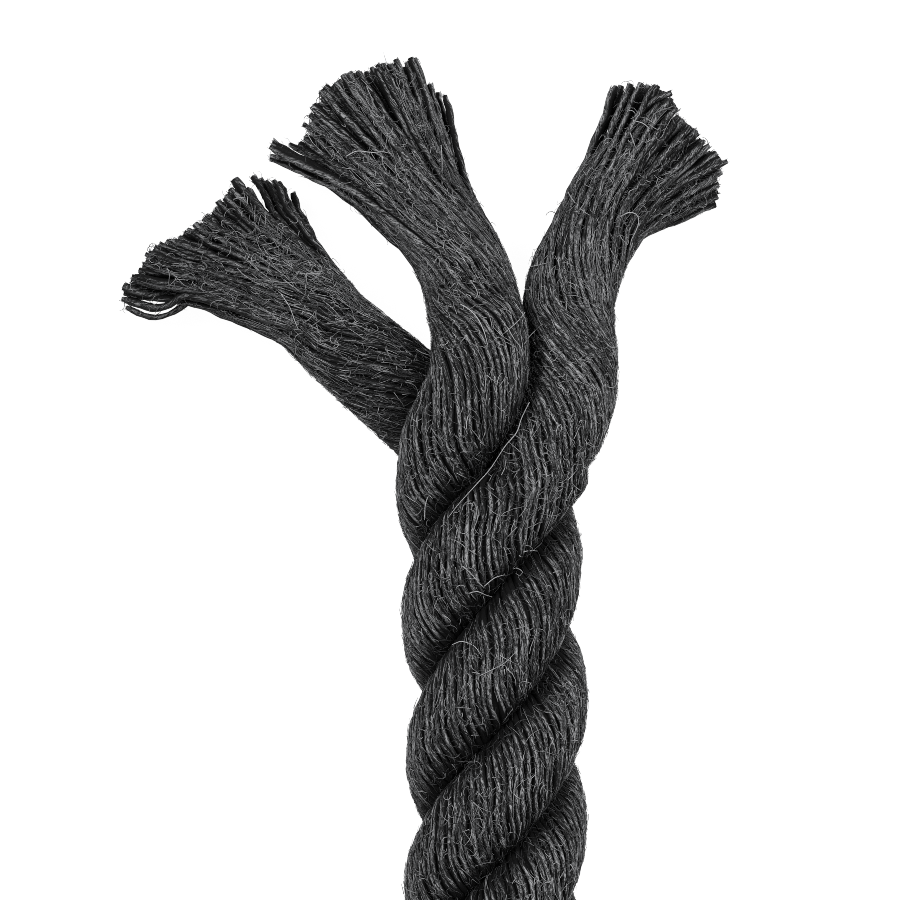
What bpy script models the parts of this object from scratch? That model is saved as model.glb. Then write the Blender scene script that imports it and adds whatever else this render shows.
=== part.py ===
"""Black jute rope for training: three strands laid up right-handed, its near end unlaid and frayed.

The rope lies on the floor, which is Z = 0. Near its frayed end it runs along Y, and the rest of its
length is folded into a flat hank that a band holds. Lengths are in metres.
"""

import math

import bmesh
import bpy
import numpy as np
from mathutils import Vector

# Driving dimensions
ROPE_DIAMETER = 0.038
ROPE_LENGTH = 2.4  # from the tips of the frayed end to the closed end of the sleeve
LAY_LENGTH = 0.0834  # one full turn of a strand about the rope
LAID_LENGTH = 0.097  # laid strands that are made one by one, before the hank begins
CLEARANCE = 0.0003
STRAND_CLEARANCE = 0.0006  # between strands, whose facing skins twist round each other
WELD_DISTANCE = 0.00001  # points nearer than this are one point

# Hank
FOLD_RADIUS = 0.095  # of the rope's axis at the tighter fold, 2.5 diameters
FOLD_DROP = 0.030  # from where the hank begins to the outside of its upper fold's axis
RUN_GAP = 0.0045  # between the outgoing run and the returning run beside it
WAIST_GAP = 0.003  # between the runs under the band
WAIST_SHIFT_SHARE = 0.7  # how far the outgoing run moves over to the waist, in rope diameters
WAIST_LENGTH = 0.034  # stretch of each run that lies straight under the band
WAIST_RISE_LENGTH = 0.09  # stretch over which a run climbs onto the band
POINTS_ALONG_SWEEP = 6
POINTS_AROUND_FOLD = 12
SLEEVED_RUN_SHIFT_SHARE = 0.25  # the sleeved end leaves its neighbour by this share of a diameter

# Band round the hank's waist
BAND_WIDTH = 0.025
BAND_THICKNESS = 0.002
POINTS_AROUND_BAND = 8  # along each round side

# Heat-shrink sleeve on the far end
SLEEVE_LENGTH = 0.060
SLEEVE_WALL = 0.0015
SLEEVE_END_WALL = 0.003
SLEEVE_FLAT = 0.0005  # depth of the flat that it rests on
SLEEVE_STEPS = 24

# Shares of the rope's diameter
FLAT_DEPTH_SHARE = 0.1
STRAND_RADIUS_SHARE = 0.2475
STRAND_CENTRE_SHARE = 0.25  # from the rope's axis to a strand's
BUNDLE_RADIUS_SHARE = 0.0455
BUNDLE_ROOM_SHARE = 0.104  # least distance between the axes of two bundles in a frayed end
BUNDLE_LEAD_SHARE = 0.05  # straight start of a bundle, square to its strand's end
RING_RADII_SHARES = (0.0, 0.103, 0.2035)
RING_COUNTS = (1, 6, 10)
RING_TURNS_SHARES = (0.0, 0.04, 0.0)  # of a full turn
FRAYED_THICKNESS_SHARE = 0.84  # height of a frayed end at its tips, of the strand's own
LOOSENED_SHARE = 0.42  # how much thicker a bundle is at its tips, where its yarns stand apart

# Facets
SIDES_OF_STRAND = 16
RINGS_PER_LAY = 24
RINGS_PER_TAIL = 14
SLICES_OF_FRAYED_END = 5
BEVEL_STEPS = 1
SHARP_EDGE_DEGREES = 50

# Steps of the searches
HALVINGS = 16
ROUNDS_OF_PUSHING = 120

AXIS_HEIGHT = ROPE_DIAMETER * (0.5 - FLAT_DEPTH_SHARE)
CUTTER_MARGIN_SHARE = 4.0  # how much wider the floor's cutter is than the hank, in diameters

COLLECTION_NAME = "jute_rope"

# Each strand: its turn about the rope where the lay ends, in degrees from the top, and then the
# route of its loosened part and the two edges of its frayed end. The routes and the edges are
# shares of the rope's diameter, from the point on the floor under the rope's axis where the lay
# ends. A route's last point is where the frayed end begins.
STRANDS = {
    "left": {
        "turn": 165.0,
        "route_shares": (
            (-0.075, 0.170, 0.160),
            (-0.225, 0.290, 0.175),
            (-0.430, 0.444, 0.205),
            (-0.664, 0.625, 0.235),
            (-0.905, 0.815, 0.250),
        ),
        "left_edge_shares": ((-1.130, 0.700), (-1.360, 0.820), (-1.710, 0.955), (-2.060, 0.970)),
        "right_edge_shares": ((-0.950, 1.250), (-1.115, 1.480), (-1.165, 1.610)),
        "bulge_share": 0.14,
    },
    "middle": {
        "turn": -75.0,
        "route_shares": (
            (-0.212, 0.200, 0.580),
            (-0.146, 0.400, 0.620),
            (-0.100, 0.580, 0.590),
            (-0.095, 0.780, 0.480),
            (-0.122, 0.950, 0.345),
            (-0.135, 1.060, 0.262),
        ),
        "left_edge_shares": ((-0.480, 1.215), (-0.640, 1.375), (-0.850, 1.540), (-1.045, 1.660),
                             (-1.240, 1.755)),
        "right_edge_shares": ((0.055, 1.250), (-0.010, 1.410), (-0.100, 1.580), (-0.165, 1.790),
                              (-0.215, 2.100)),
        "bulge_share": 0.26,
    },
    "right": {
        "turn": 45.0,
        "route_shares": (
            (0.272, 0.110, 0.530),
            (0.375, 0.290, 0.430),
            (0.425, 0.470, 0.335),
            (0.432, 0.650, 0.275),
            (0.420, 0.830, 0.252),
            (0.418, 0.960, 0.250),
        ),
        "left_edge_shares": ((0.190, 1.150), (0.260, 1.320), (0.400, 1.590), (0.540, 1.900),
                             (0.635, 2.130)),
        "right_edge_shares": ((0.705, 1.085), (0.775, 1.210), (0.900, 1.360), (1.070, 1.420),
                              (1.190, 1.470)),
        "bulge_share": 0.20,
    },
}


def clear_scene():
    for old in list(bpy.data.objects):
        bpy.data.objects.remove(old)


def make_material(name, colour, roughness):
    material = bpy.data.materials.new(name)
    material.use_nodes = True
    shader = material.node_tree.nodes["Principled BSDF"]
    shader.inputs["Base Color"].default_value = (*colour, 1.0)
    shader.inputs["Roughness"].default_value = roughness
    shader.inputs["Metallic"].default_value = 0.0
    material.diffuse_color = (*colour, 1.0)
    return material


def add_to(collection, name, data, material=None):
    new_object = bpy.data.objects.new(name, data)
    collection.objects.link(new_object)
    if material:
        data.materials.append(material)
    return new_object


# Smooth curves


def smooth_through(points, spacing):
    """Points along a smooth curve through the given ones, about this far apart."""
    points = np.asarray(points, float)
    padded = np.vstack([2 * points[0] - points[1], points, 2 * points[-1] - points[-2]])
    found = [points[0]]
    for before, start, end, after in zip(padded, padded[1:], padded[2:], padded[3:]):
        steps = max(1, round(float(np.linalg.norm(end - start)) / spacing))
        for step in range(1, steps + 1):
            t = step / steps
            found.append(0.5 * (
                2 * start
                + (end - before) * t
                + (2 * before - 5 * start + 4 * end - after) * t**2
                + (3 * start - before - 3 * end + after) * t**3
            ))
    return np.array(found)


def lengths_along(points):
    return np.concatenate([[0.0], np.cumsum(np.linalg.norm(np.diff(points, axis=0), axis=1))])


def at_shares(points, shares):
    """Points at the given shares of a polyline's length."""
    along = lengths_along(points)
    return np.stack(
        [np.interp(np.asarray(shares) * along[-1], along, column) for column in points.T], axis=1
    )


def tangents_of(points):
    ahead = np.gradient(points, axis=0)
    return ahead / np.linalg.norm(ahead, axis=1, keepdims=True)


# Strands


def laid_point(turn_at_lay_end, y):
    """A strand's centre in the laid rope, which turns right-handed along +Y."""
    turn = math.radians(turn_at_lay_end) + 2 * math.pi * y / LAY_LENGTH
    reach = ROPE_DIAMETER * STRAND_CENTRE_SHARE
    return (reach * math.sin(turn), y, AXIS_HEIGHT + reach * math.cos(turn))


def strand_centreline(strand):
    """Ring centres of one strand, from the hank to where its frayed end begins, and how many lie
    in the laid rope."""
    ring_spacing = LAY_LENGTH / RINGS_PER_LAY
    laid_count = math.ceil(LAID_LENGTH / ring_spacing) + 1
    laid = [laid_point(strand["turn"], y) for y in np.linspace(-LAID_LENGTH, 0.0, laid_count)]
    tail = [tuple(ROPE_DIAMETER * share for share in point) for point in strand["route_shares"]]
    dense = smooth_through([laid[-2], laid[-1]] + tail, ring_spacing / 8)
    past_lay = dense[np.argmin(np.linalg.norm(dense - laid[-1], axis=1)):]
    tail_rings = at_shares(past_lay, np.linspace(0.0, 1.0, RINGS_PER_TAIL + 1))[1:]
    return np.vstack([laid, tail_rings]), laid_count


def strand_frames(centres, laid_count):
    """For each ring, the normal of its plane and two directions in it. In the lay the planes are
    square to the rope, and along the tail they turn until they are square to the strand."""
    tangents = tangents_of(centres)
    normals = tangents.copy()
    for ring in range(len(centres)):
        turned = min(1.0, max(0.0, (ring - laid_count + 1) / (RINGS_PER_TAIL - 2)))
        normals[ring] = (1 - turned) * np.array([0.0, 1.0, 0.0]) + turned * tangents[ring]
    normals[-1] = (centres[-1] - centres[-3]) * [1.0, 1.0, 0.0]
    normals /= np.linalg.norm(normals, axis=1, keepdims=True)
    firsts, seconds = [], []
    for ring, (centre, normal) in enumerate(zip(centres, normals)):
        if ring < laid_count:
            outward = centre - np.array([0.0, centre[1], AXIS_HEIGHT])
        else:
            outward = firsts[-1]
        outward = outward - normal * outward.dot(normal)
        firsts.append(outward / np.linalg.norm(outward))
        seconds.append(np.cross(normal, firsts[-1]))
    return tangents, normals, np.array(firsts), np.array(seconds)


def nearest_distance(points, line):
    return np.linalg.norm(points[..., None, :] - line, axis=-1).min(axis=-1)


def strand_rings(centres, laid_count, own_line, other_lines):
    """Rings of points on a strand's skin: round, but pressed flat where strands meet and on the
    floor."""
    tangents, _, firsts, seconds = strand_frames(centres, laid_count)
    radius = ROPE_DIAMETER * STRAND_RADIUS_SHARE
    angles = np.arange(SIDES_OF_STRAND) * 2 * math.pi / SIDES_OF_STRAND
    directions = (
        firsts[:, None, :] * np.cos(angles)[None, :, None]
        + seconds[:, None, :] * np.sin(angles)[None, :, None]
    )
    slant = (directions * tangents[:, None, :]).sum(axis=-1)
    reach = radius / np.sqrt(1 - slant**2)
    low, high = np.zeros_like(reach), np.ones_like(reach)
    for _ in range(HALVINGS):
        middle = (low + high) / 2
        points = centres[:, None, :] + directions * (reach * middle)[..., None]
        own = nearest_distance(points, own_line)
        other = np.minimum.reduce([nearest_distance(points, line) for line in other_lines])
        clear = other - own >= STRAND_CLEARANCE
        low, high = np.where(clear, middle, low), np.where(clear, high, middle)
    points = centres[:, None, :] + directions * (reach * low)[..., None]
    points[..., 2] = np.maximum(points[..., 2], 0.0)
    return points


def loft(rings):
    """A closed mesh through rings of as many points each."""
    mesh_tool = bmesh.new()
    rows = [[mesh_tool.verts.new(point) for point in ring] for ring in rings]
    for row, following in zip(rows, rows[1:]):
        for side in range(len(row)):
            following_side = (side + 1) % len(row)
            mesh_tool.faces.new(
                (row[side], row[following_side], following[following_side], following[side])
            )
    mesh_tool.faces.new(rows[0])
    mesh_tool.faces.new(rows[-1])
    bmesh.ops.triangulate(mesh_tool, faces=[f for f in mesh_tool.faces if len(f.verts) > 4])
    bmesh.ops.recalc_face_normals(mesh_tool, faces=mesh_tool.faces)
    mesh = bpy.data.meshes.new("strand")
    mesh_tool.to_mesh(mesh)
    mesh_tool.free()
    mesh.shade_smooth()
    mesh.set_sharp_from_angle(angle=math.radians(SHARP_EDGE_DEGREES))
    return mesh


def build_strands(collection, jute):
    lines, laid_counts = {}, {}
    for side, strand in STRANDS.items():
        lines[side], laid_counts[side] = strand_centreline(strand)
    dense = {side: smooth_through(line, ROPE_DIAMETER / 80) for side, line in lines.items()}
    ends = {}
    for side, line in lines.items():
        others = [dense[other] for other in STRANDS if other != side]
        rings = strand_rings(line, laid_counts[side], dense[side], others)
        add_to(collection, f"{side}_strand", loft(rings), jute)
        ends[side] = (line[-1], strand_frames(line, laid_counts[side])[1][-1])
    return ends


# Frayed ends


def bundle_layout():
    """Places of the yarn bundles in a strand's round end, as shares of the rope's diameter."""
    places = []
    for radius, count, turn in zip(RING_RADII_SHARES, RING_COUNTS, RING_TURNS_SHARES):
        for number in range(count):
            angle = 2 * math.pi * (number / count + turn)
            places.append((radius * math.cos(angle), radius * math.sin(angle)))
    return np.array(places)


def pushed_apart(places, room, floor):
    """Moves places apart until each two have this much room, and none is lower than the floor."""
    places = places.copy()
    for _ in range(ROUNDS_OF_PUSHING):
        for first in range(len(places)):
            away = places[first] - places
            distance = np.linalg.norm(away, axis=1)
            near = (distance < room) & (np.arange(len(places)) != first)
            if near.any():
                push = away[near] * ((room / distance[near] - 1) / 2)[:, None]
                places[first] += push.sum(axis=0) / 2
                places[near] -= push / 2
        places[:, 1] = np.maximum(places[:, 1], floor)
    return places


def frayed_routes(strand, end, heading):
    """The routes of a strand's yarn bundles, from its end to the ragged tips."""
    side_way = np.array([heading[1], -heading[0], 0.0])
    strand_radius = ROPE_DIAMETER * STRAND_CENTRE_SHARE
    bundle_radius = ROPE_DIAMETER * BUNDLE_RADIUS_SHARE
    layout = ROPE_DIAMETER * bundle_layout()
    lead = ROPE_DIAMETER * BUNDLE_LEAD_SHARE
    starts = end + heading * CLEARANCE
    across = layout[:, :1] * side_way
    heights = np.zeros((len(layout), 3))
    heights[:, 2] = layout[:, 1]
    slices = [starts + across + heights, starts + heading * lead + across + heights]

    edges = []
    for key, sign in (("left_edge_shares", -1), ("right_edge_shares", 1)):
        corner = (starts + heading * lead + side_way * sign * strand_radius)[:2]
        points = np.vstack([corner, ROPE_DIAMETER * np.array(strand[key])])
        edges.append(at_shares(smooth_through(points, lead), np.linspace(0, 1, SLICES_OF_FRAYED_END + 1)))
    left_edge, right_edge = edges
    places = layout + [0.0, end[2]]
    width = 2 * strand_radius
    for number in range(1, SLICES_OF_FRAYED_END + 1):
        share = number / SLICES_OF_FRAYED_END
        wider = np.linalg.norm(right_edge[number] - left_edge[number])
        sinking = FRAYED_THICKNESS_SHARE ** (1 / SLICES_OF_FRAYED_END)
        looser = 1 + LOOSENED_SHARE * share
        room = ROPE_DIAMETER * BUNDLE_ROOM_SHARE * looser
        places = pushed_apart(places * [wider / width, sinking], room, bundle_radius * looser)
        width = wider
        shares = places[:, :1] / width + 0.5
        middles = left_edge[number] * (1 - shares) + right_edge[number] * shares
        bulge = ROPE_DIAMETER * strand["bulge_share"] * share**2 * (1 - (2 * shares - 1) ** 2)
        ways = right_edge[number] - left_edge[number]
        outward = np.array([-ways[1], ways[0]]) / np.linalg.norm(ways)
        middles = middles + bulge * outward
        slices.append(np.hstack([middles, places[:, 1:]]))
    return np.stack(slices, axis=1)


def tube(name, points, radius, widenings=None):
    """A round tube along straight pieces between points, whose radius may change along it."""
    curve = bpy.data.curves.new(name, "CURVE")
    curve.dimensions = "3D"
    curve.twist_mode = "Z_UP"
    curve.bevel_depth = radius
    curve.bevel_resolution = BEVEL_STEPS
    curve.use_fill_caps = True
    spline = curve.splines.new("POLY")
    spline.points.add(len(points) - 1)
    for number, (place, point) in enumerate(zip(spline.points, points)):
        place.co = (*point, 1.0)
        place.radius = widenings[number] if widenings else 1.0
    return curve


def build_frayed_ends(collection, jute, ends):
    radius = ROPE_DIAMETER * BUNDLE_RADIUS_SHARE
    shares = np.linspace(0.0, 1.0, SLICES_OF_FRAYED_END + 1)
    widenings = [1.0, *(1 + LOOSENED_SHARE * shares)]
    for side, strand in STRANDS.items():
        end, heading = ends[side]
        for number, route in enumerate(frayed_routes(strand, end, heading), 1):
            curve = tube("yarn_bundle", route, radius, widenings)
            add_to(collection, f"{side}_yarn_bundle_{number:02d}", curve, jute)


# Hank


def sweep(length, shift, share):
    """How far an S-shaped move has gone sideways at a share of its length: two equal arcs."""
    radius = (length**2 + shift**2) / (4 * abs(shift))
    half_share = min(share, 1 - share)
    moved = radius - math.sqrt(radius**2 - (half_share * length) ** 2)
    moved = moved if share <= 0.5 else abs(shift) - moved
    return math.copysign(moved, shift)


def run_points(x_start, x_waist, x_end, y_start, heading, sweep_length, straight_end=0.0):
    """One run of the hank: in to the waist, straight under the band, and out again, with any
    straight end inside the same length."""
    points = []
    for number in range(POINTS_ALONG_SWEEP + 1):
        share = number / POINTS_ALONG_SWEEP
        x = x_start + sweep(sweep_length, x_waist - x_start, share)
        points.append((x, y_start + heading * share * sweep_length))
    y_out = points[-1][1] + heading * WAIST_LENGTH
    for number in range(POINTS_ALONG_SWEEP + 1):
        share = number / POINTS_ALONG_SWEEP
        x = x_waist + sweep(sweep_length - straight_end, x_end - x_waist, share)
        points.append((x, y_out + heading * share * (sweep_length - straight_end)))
    if straight_end:
        points.append((x_end, y_out + heading * sweep_length))
    return points


def fold_points(x_start, x_end, y, heading):
    """The half turn from one run to the next, without its first and last point."""
    centre, radius = (x_start + x_end) / 2, (x_start - x_end) / 2
    angles = np.linspace(0.0, math.pi, POINTS_AROUND_FOLD + 1)[1:-1]
    return [(centre + radius * math.cos(a), y + heading * abs(radius) * math.sin(a)) for a in angles]


def hank_route(sweep_length):
    """The rope's axis in the hank, the height of the waist along Y, and the runs there."""
    pitch = ROPE_DIAMETER + RUN_GAP
    waist_pitch = ROPE_DIAMETER + WAIST_GAP
    far_run = -2 * FOLD_RADIUS - pitch
    waist_runs = [-ROPE_DIAMETER * WAIST_SHIFT_SHARE - number * waist_pitch for number in range(3)]
    y_top = -LAID_LENGTH - CLEARANCE
    y_fold_top = y_top - FOLD_RADIUS - FOLD_DROP
    lead = [(0.0, y_top), (0.0, (y_top + y_fold_top) / 2)]
    out = run_points(0.0, waist_runs[0], 0.0, y_fold_top, -1, sweep_length)
    y_bottom = out[-1][1]
    turn_out = fold_points(0.0, far_run, y_bottom, -1)
    back = run_points(far_run, waist_runs[2], far_run, y_bottom, 1, sweep_length)
    turn_back = fold_points(far_run, -pitch, y_fold_top, 1)
    sleeved = -pitch - ROPE_DIAMETER * SLEEVED_RUN_SHIFT_SHARE
    last = run_points(-pitch, waist_runs[1], sleeved, y_fold_top, -1, sweep_length, SLEEVE_LENGTH)
    flat = np.array(lead + out + turn_out + back + turn_back + last)
    y_waist = y_fold_top - sweep_length - WAIST_LENGTH / 2
    heights = []
    base = AXIS_HEIGHT
    waist_lift = BAND_THICKNESS + 2 * CLEARANCE + ROPE_DIAMETER / 2 - base
    sleeve_lift = ROPE_DIAMETER / 2 + CLEARANCE + SLEEVE_WALL - SLEEVE_FLAT - base
    for number, (_, y) in enumerate(flat):
        off_waist = max(0.0, abs(y - y_waist) - WAIST_LENGTH / 2) / WAIST_RISE_LENGTH
        lift = waist_lift * rise_share(1 - off_waist)
        if number >= len(flat) - POINTS_ALONG_SWEEP:
            off_end = max(0.0, y - flat[-1][1] - SLEEVE_LENGTH) / WAIST_RISE_LENGTH
            lift = max(lift, sleeve_lift * rise_share(1 - off_end))
        heights.append(base + lift)
    return np.column_stack([flat, heights]), y_waist, waist_runs


def rise_share(share):
    share = min(1.0, max(0.0, share))
    return share * share * (3 - 2 * share)


def solve_hank(length):
    """The hank whose rope has this length."""
    low, high = ROPE_DIAMETER, length / 3
    for _ in range(2 * HALVINGS):
        middle = (low + high) / 2
        made = lengths_along(hank_route(middle)[0])[-1]
        low, high = (middle, high) if made < length else (low, middle)
    return hank_route(low)


def least_gap_to_itself(points):
    """The least gap between stretches of a rope that are far apart along it."""
    along = lengths_along(points)
    dense_count = round(along[-1] / (ROPE_DIAMETER / 8))
    dense = at_shares(points, np.linspace(0, 1, dense_count))
    distance = np.linalg.norm(dense[:, None] - dense[None], axis=-1)
    places = np.arange(dense_count) * along[-1] / dense_count
    apart = np.abs(places[:, None] - places[None]) > math.pi * ROPE_DIAMETER
    return float(distance[apart].min()) - ROPE_DIAMETER


def as_mesh_object(collection, curve, name, material):
    """The curve as a welded mesh object, so that it can be cut."""
    guide = add_to(collection, name + "_guide", curve)
    bpy.context.view_layer.update()
    mesh = bpy.data.meshes.new_from_object(guide.evaluated_get(bpy.context.evaluated_depsgraph_get()))
    welding = bmesh.new()
    welding.from_mesh(mesh)
    bmesh.ops.remove_doubles(welding, verts=welding.verts, dist=WELD_DISTANCE)
    bmesh.ops.recalc_face_normals(welding, faces=welding.faces)
    welding.to_mesh(mesh)
    welding.free()
    bpy.data.objects.remove(guide)
    mesh.materials.clear()
    new_object = add_to(collection, name, mesh, material)
    return new_object


def floor_cutter(collection, low, high):
    """A slab under the floor, which cuts what rests on it flat."""
    margin = ROPE_DIAMETER * CUTTER_MARGIN_SHARE
    size = np.array([high[0] - low[0] + margin, high[1] - low[1] + margin, ROPE_DIAMETER])
    block = bmesh.new()
    bmesh.ops.create_cube(block, size=1.0)
    bmesh.ops.scale(block, vec=size, verts=block.verts)
    middle = Vector(((low[0] + high[0]) / 2, (low[1] + high[1]) / 2, -ROPE_DIAMETER / 2))
    bmesh.ops.translate(block, vec=middle, verts=block.verts)
    mesh = bpy.data.meshes.new("floor_cutter")
    block.to_mesh(mesh)
    block.free()
    cutter = add_to(collection, "floor_cutter", mesh)
    cutter.hide_render = True
    cutter.display_type = "WIRE"
    return cutter


def cut_on_floor(piece, cutter):
    cut = piece.modifiers.new("rests_flat", "BOOLEAN")
    cut.operation = "DIFFERENCE"
    cut.solver = "EXACT"
    cut.object = cutter


def band_outline(runs, radius):
    """Half circles at the outer runs, joined by straight sides, in X and Z about the rope's axis."""
    points = []
    for centre, start in ((max(runs), -math.pi / 2), (min(runs), math.pi / 2)):
        for number in range(POINTS_AROUND_BAND + 1):
            angle = start + math.pi * number / POINTS_AROUND_BAND
            points.append((centre + radius * math.cos(angle), radius * math.sin(angle)))
    return points


def build_band(collection, webbing, y_waist, runs):
    inner = ROPE_DIAMETER / 2 + 2 * CLEARANCE
    curve = bpy.data.curves.new("hank_band", "CURVE")
    curve.dimensions = "2D"
    curve.fill_mode = "BOTH"
    curve.extrude = BAND_WIDTH / 2
    for radius in (inner + BAND_THICKNESS, inner):
        outline = band_outline(runs, radius)
        spline = curve.splines.new("POLY")
        spline.points.add(len(outline) - 1)
        spline.use_cyclic_u = True
        for place, (x, z) in zip(spline.points, outline):
            place.co = (x, z, 0.0, 1.0)
    band = add_to(collection, "hank_band", curve, webbing)
    band.rotation_euler = (math.pi / 2, 0.0, 0.0)
    band.location = (0.0, y_waist, inner + BAND_THICKNESS)
    return band


def build_sleeve(collection, shrink, end):
    """A cup turned about the rope's last axis, with the rope's end in it."""
    bore = ROPE_DIAMETER / 2 + CLEARANCE
    outer = bore + SLEEVE_WALL
    mouth, inside, closed_end = SLEEVE_LENGTH, 0.0, -SLEEVE_END_WALL
    profile = [(0.0, closed_end), (outer, closed_end), (outer, mouth), (bore, mouth),
               (bore, inside), (0.0, inside)]
    mesh = bpy.data.meshes.new("end_sleeve")
    edges = [(number, number + 1) for number in range(len(profile) - 1)]
    mesh.from_pydata([(radius, 0.0, height) for radius, height in reversed(profile)], edges, [])
    sleeve = add_to(collection, "end_sleeve", mesh, shrink)
    screw = sleeve.modifiers.new("turned", "SCREW")
    screw.axis = "Z"
    screw.steps = screw.render_steps = SLEEVE_STEPS
    screw.use_merge_vertices = True
    screw.merge_threshold = WELD_DISTANCE
    screw.use_smooth_shade = True
    sleeve.rotation_euler = (-math.pi / 2, 0.0, 0.0)
    sleeve.location = (end[0], end[1] - CLEARANCE, end[2])
    return sleeve


def build_hank(collection, cutters, jute, webbing, shrink, length):
    """The folded rope, its band and its sleeve. Gives a point on the face that it rests on and the
    middle of the sleeve's closed end."""
    points, y_waist, runs = solve_hank(length)
    hank = as_mesh_object(
        collection, tube("rope_hank", points, ROPE_DIAMETER / 2), "rope_hank", jute
    )
    cutter = floor_cutter(cutters, points.min(axis=0), points.max(axis=0))
    cut_on_floor(hank, cutter)
    build_band(collection, webbing, y_waist, runs)
    sleeve = build_sleeve(collection, shrink, points[-1])
    cut_on_floor(sleeve, cutter)
    print(f"hank: rope {lengths_along(points)[-1]:.3f} m, {len(points)} points, least gap to "
          f"itself {1000 * least_gap_to_itself(points):.2f} mm")
    rest_point = Vector((points[1][0], points[1][1], 0.0))
    sleeve_point = Vector(points[-1]) - Vector((0.0, CLEARANCE + SLEEVE_END_WALL, 0.0))
    return rest_point, sleeve_point


def outline_corners(collection):
    """The lowest and highest corner of all pieces together."""
    bpy.context.view_layer.update()
    graph = bpy.context.evaluated_depsgraph_get()
    corners = []
    for piece in collection.objects:
        evaluated = piece.evaluated_get(graph)
        mesh = evaluated.to_mesh()
        corners += [evaluated.matrix_world @ vertex.co for vertex in mesh.vertices]
        evaluated.to_mesh_clear()
    low = Vector([min(corner[axis] for corner in corners) for axis in range(3)])
    high = Vector([max(corner[axis] for corner in corners) for axis in range(3)])
    return low, high


def main():
    clear_scene()
    collection = bpy.data.collections.new(COLLECTION_NAME)
    cutters = bpy.data.collections.new("cutters")
    bpy.context.scene.collection.children.link(collection)
    bpy.context.scene.collection.children.link(cutters)
    jute = make_material("dyed_jute", (0.030, 0.031, 0.034), 0.92)
    webbing = make_material("polyester_webbing", (0.022, 0.022, 0.024), 0.75)
    shrink = make_material("heat_shrink", (0.012, 0.012, 0.013), 0.45)

    ends = build_strands(collection, jute)
    build_frayed_ends(collection, jute, ends)
    frayed_reach = ROPE_DIAMETER * max(share[1] for share in STRANDS["right"]["left_edge_shares"])
    hank_length = ROPE_LENGTH - LAID_LENGTH - frayed_reach
    rest_point, sleeve_point = build_hank(collection, cutters, jute, webbing, shrink, hank_length)

    low, high = outline_corners(collection)
    shift = Vector((-(low.x + high.x) / 2, -(low.y + high.y) / 2, 0.0))
    root = bpy.data.objects.new("rope_origin", None)
    for piece in list(collection.objects) + list(cutters.objects):
        piece.parent = root
    collection.objects.link(root)
    root.location = shift
    bpy.context.view_layer.update()
    for label, point in (
        ("lay end on the floor", Vector()), ("rest face", rest_point), ("sleeve end", sleeve_point)
    ):
        print(label, tuple(round(value, 5) for value in shift + point))
    print("size", [round(value, 4) for value in high - low])


main()
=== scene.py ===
"""Black jute training rope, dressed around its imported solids.

Three strands of dyed jute yarn are laid up right-handed. Near end: the strands open and their
yarns fray out over the floor. The rest of the rope lies folded in a flat hank, held by a band of
webbing, and ends in a heat-shrink sleeve. Everything is in metres, in the frame of the solids.
"""

import logging
import math
from dataclasses import dataclass, field
from enum import Enum
from typing import Sequence

import bmesh
import bpy
import numpy as np
from mathutils import Matrix, Vector
from mathutils.kdtree import KDTree


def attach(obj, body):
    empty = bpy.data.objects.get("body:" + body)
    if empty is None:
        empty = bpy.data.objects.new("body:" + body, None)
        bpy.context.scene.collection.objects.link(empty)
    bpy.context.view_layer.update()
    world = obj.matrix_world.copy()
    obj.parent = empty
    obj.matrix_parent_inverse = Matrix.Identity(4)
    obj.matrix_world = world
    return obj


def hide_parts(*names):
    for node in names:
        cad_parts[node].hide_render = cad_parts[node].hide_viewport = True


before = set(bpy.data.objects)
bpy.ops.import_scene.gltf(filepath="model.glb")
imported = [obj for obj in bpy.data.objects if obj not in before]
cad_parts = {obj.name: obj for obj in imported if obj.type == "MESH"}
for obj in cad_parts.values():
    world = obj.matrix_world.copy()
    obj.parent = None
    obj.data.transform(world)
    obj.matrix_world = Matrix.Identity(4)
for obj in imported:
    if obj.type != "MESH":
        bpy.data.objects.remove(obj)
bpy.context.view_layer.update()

Array = np.ndarray
Random = np.random.Generator
Material = bpy.types.Material
Piece = bpy.types.Object
Socket = bpy.types.NodeSocket
Tree = bpy.types.NodeTree

LOG = logging.getLogger("jute_rope")
BODY = "root"
MM = 0.001
TURN = 2 * math.pi
UP = np.array([0.0, 0.0, 1.0])

ROPE_DIAMETER = 0.038
LAY_LENGTH = 0.0834
LAID_LENGTH = 0.097
AXIS_HEIGHT = 0.4 * ROPE_DIAMETER
LAY_END = np.array([0.10255, 0.35901, 0.0])  # on the floor, under the rope's axis
PHOTO_ORIGIN = (494.5, 477.0)  # the same point in the photograph, in its pixels
PIXEL = ROPE_DIAMETER / 180.0
STRAND_REACH = 0.25 * ROPE_DIAMETER  # from the rope's axis to a laid strand's centre
BUNDLES = 17  # of loose yarns in each frayed end
FAN_POINTS = 34  # of each yarn's line in a frayed end


class Slot(Enum):
    """The record's finishes, which new pieces name."""

    JUTE = "jute"
    JUTE_YARN = "jute_yarn"
    WEBBING = "webbing"
    SHRINK = "shrink"


# ---- Lines in space


def from_photo(pixels: Sequence[Sequence[float]]) -> Array:
    """Turns photograph pixels, column and row, into places on the floor, from the lay's end."""
    return (np.asarray(pixels, float) - PHOTO_ORIGIN) * (PIXEL, -PIXEL)


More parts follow.
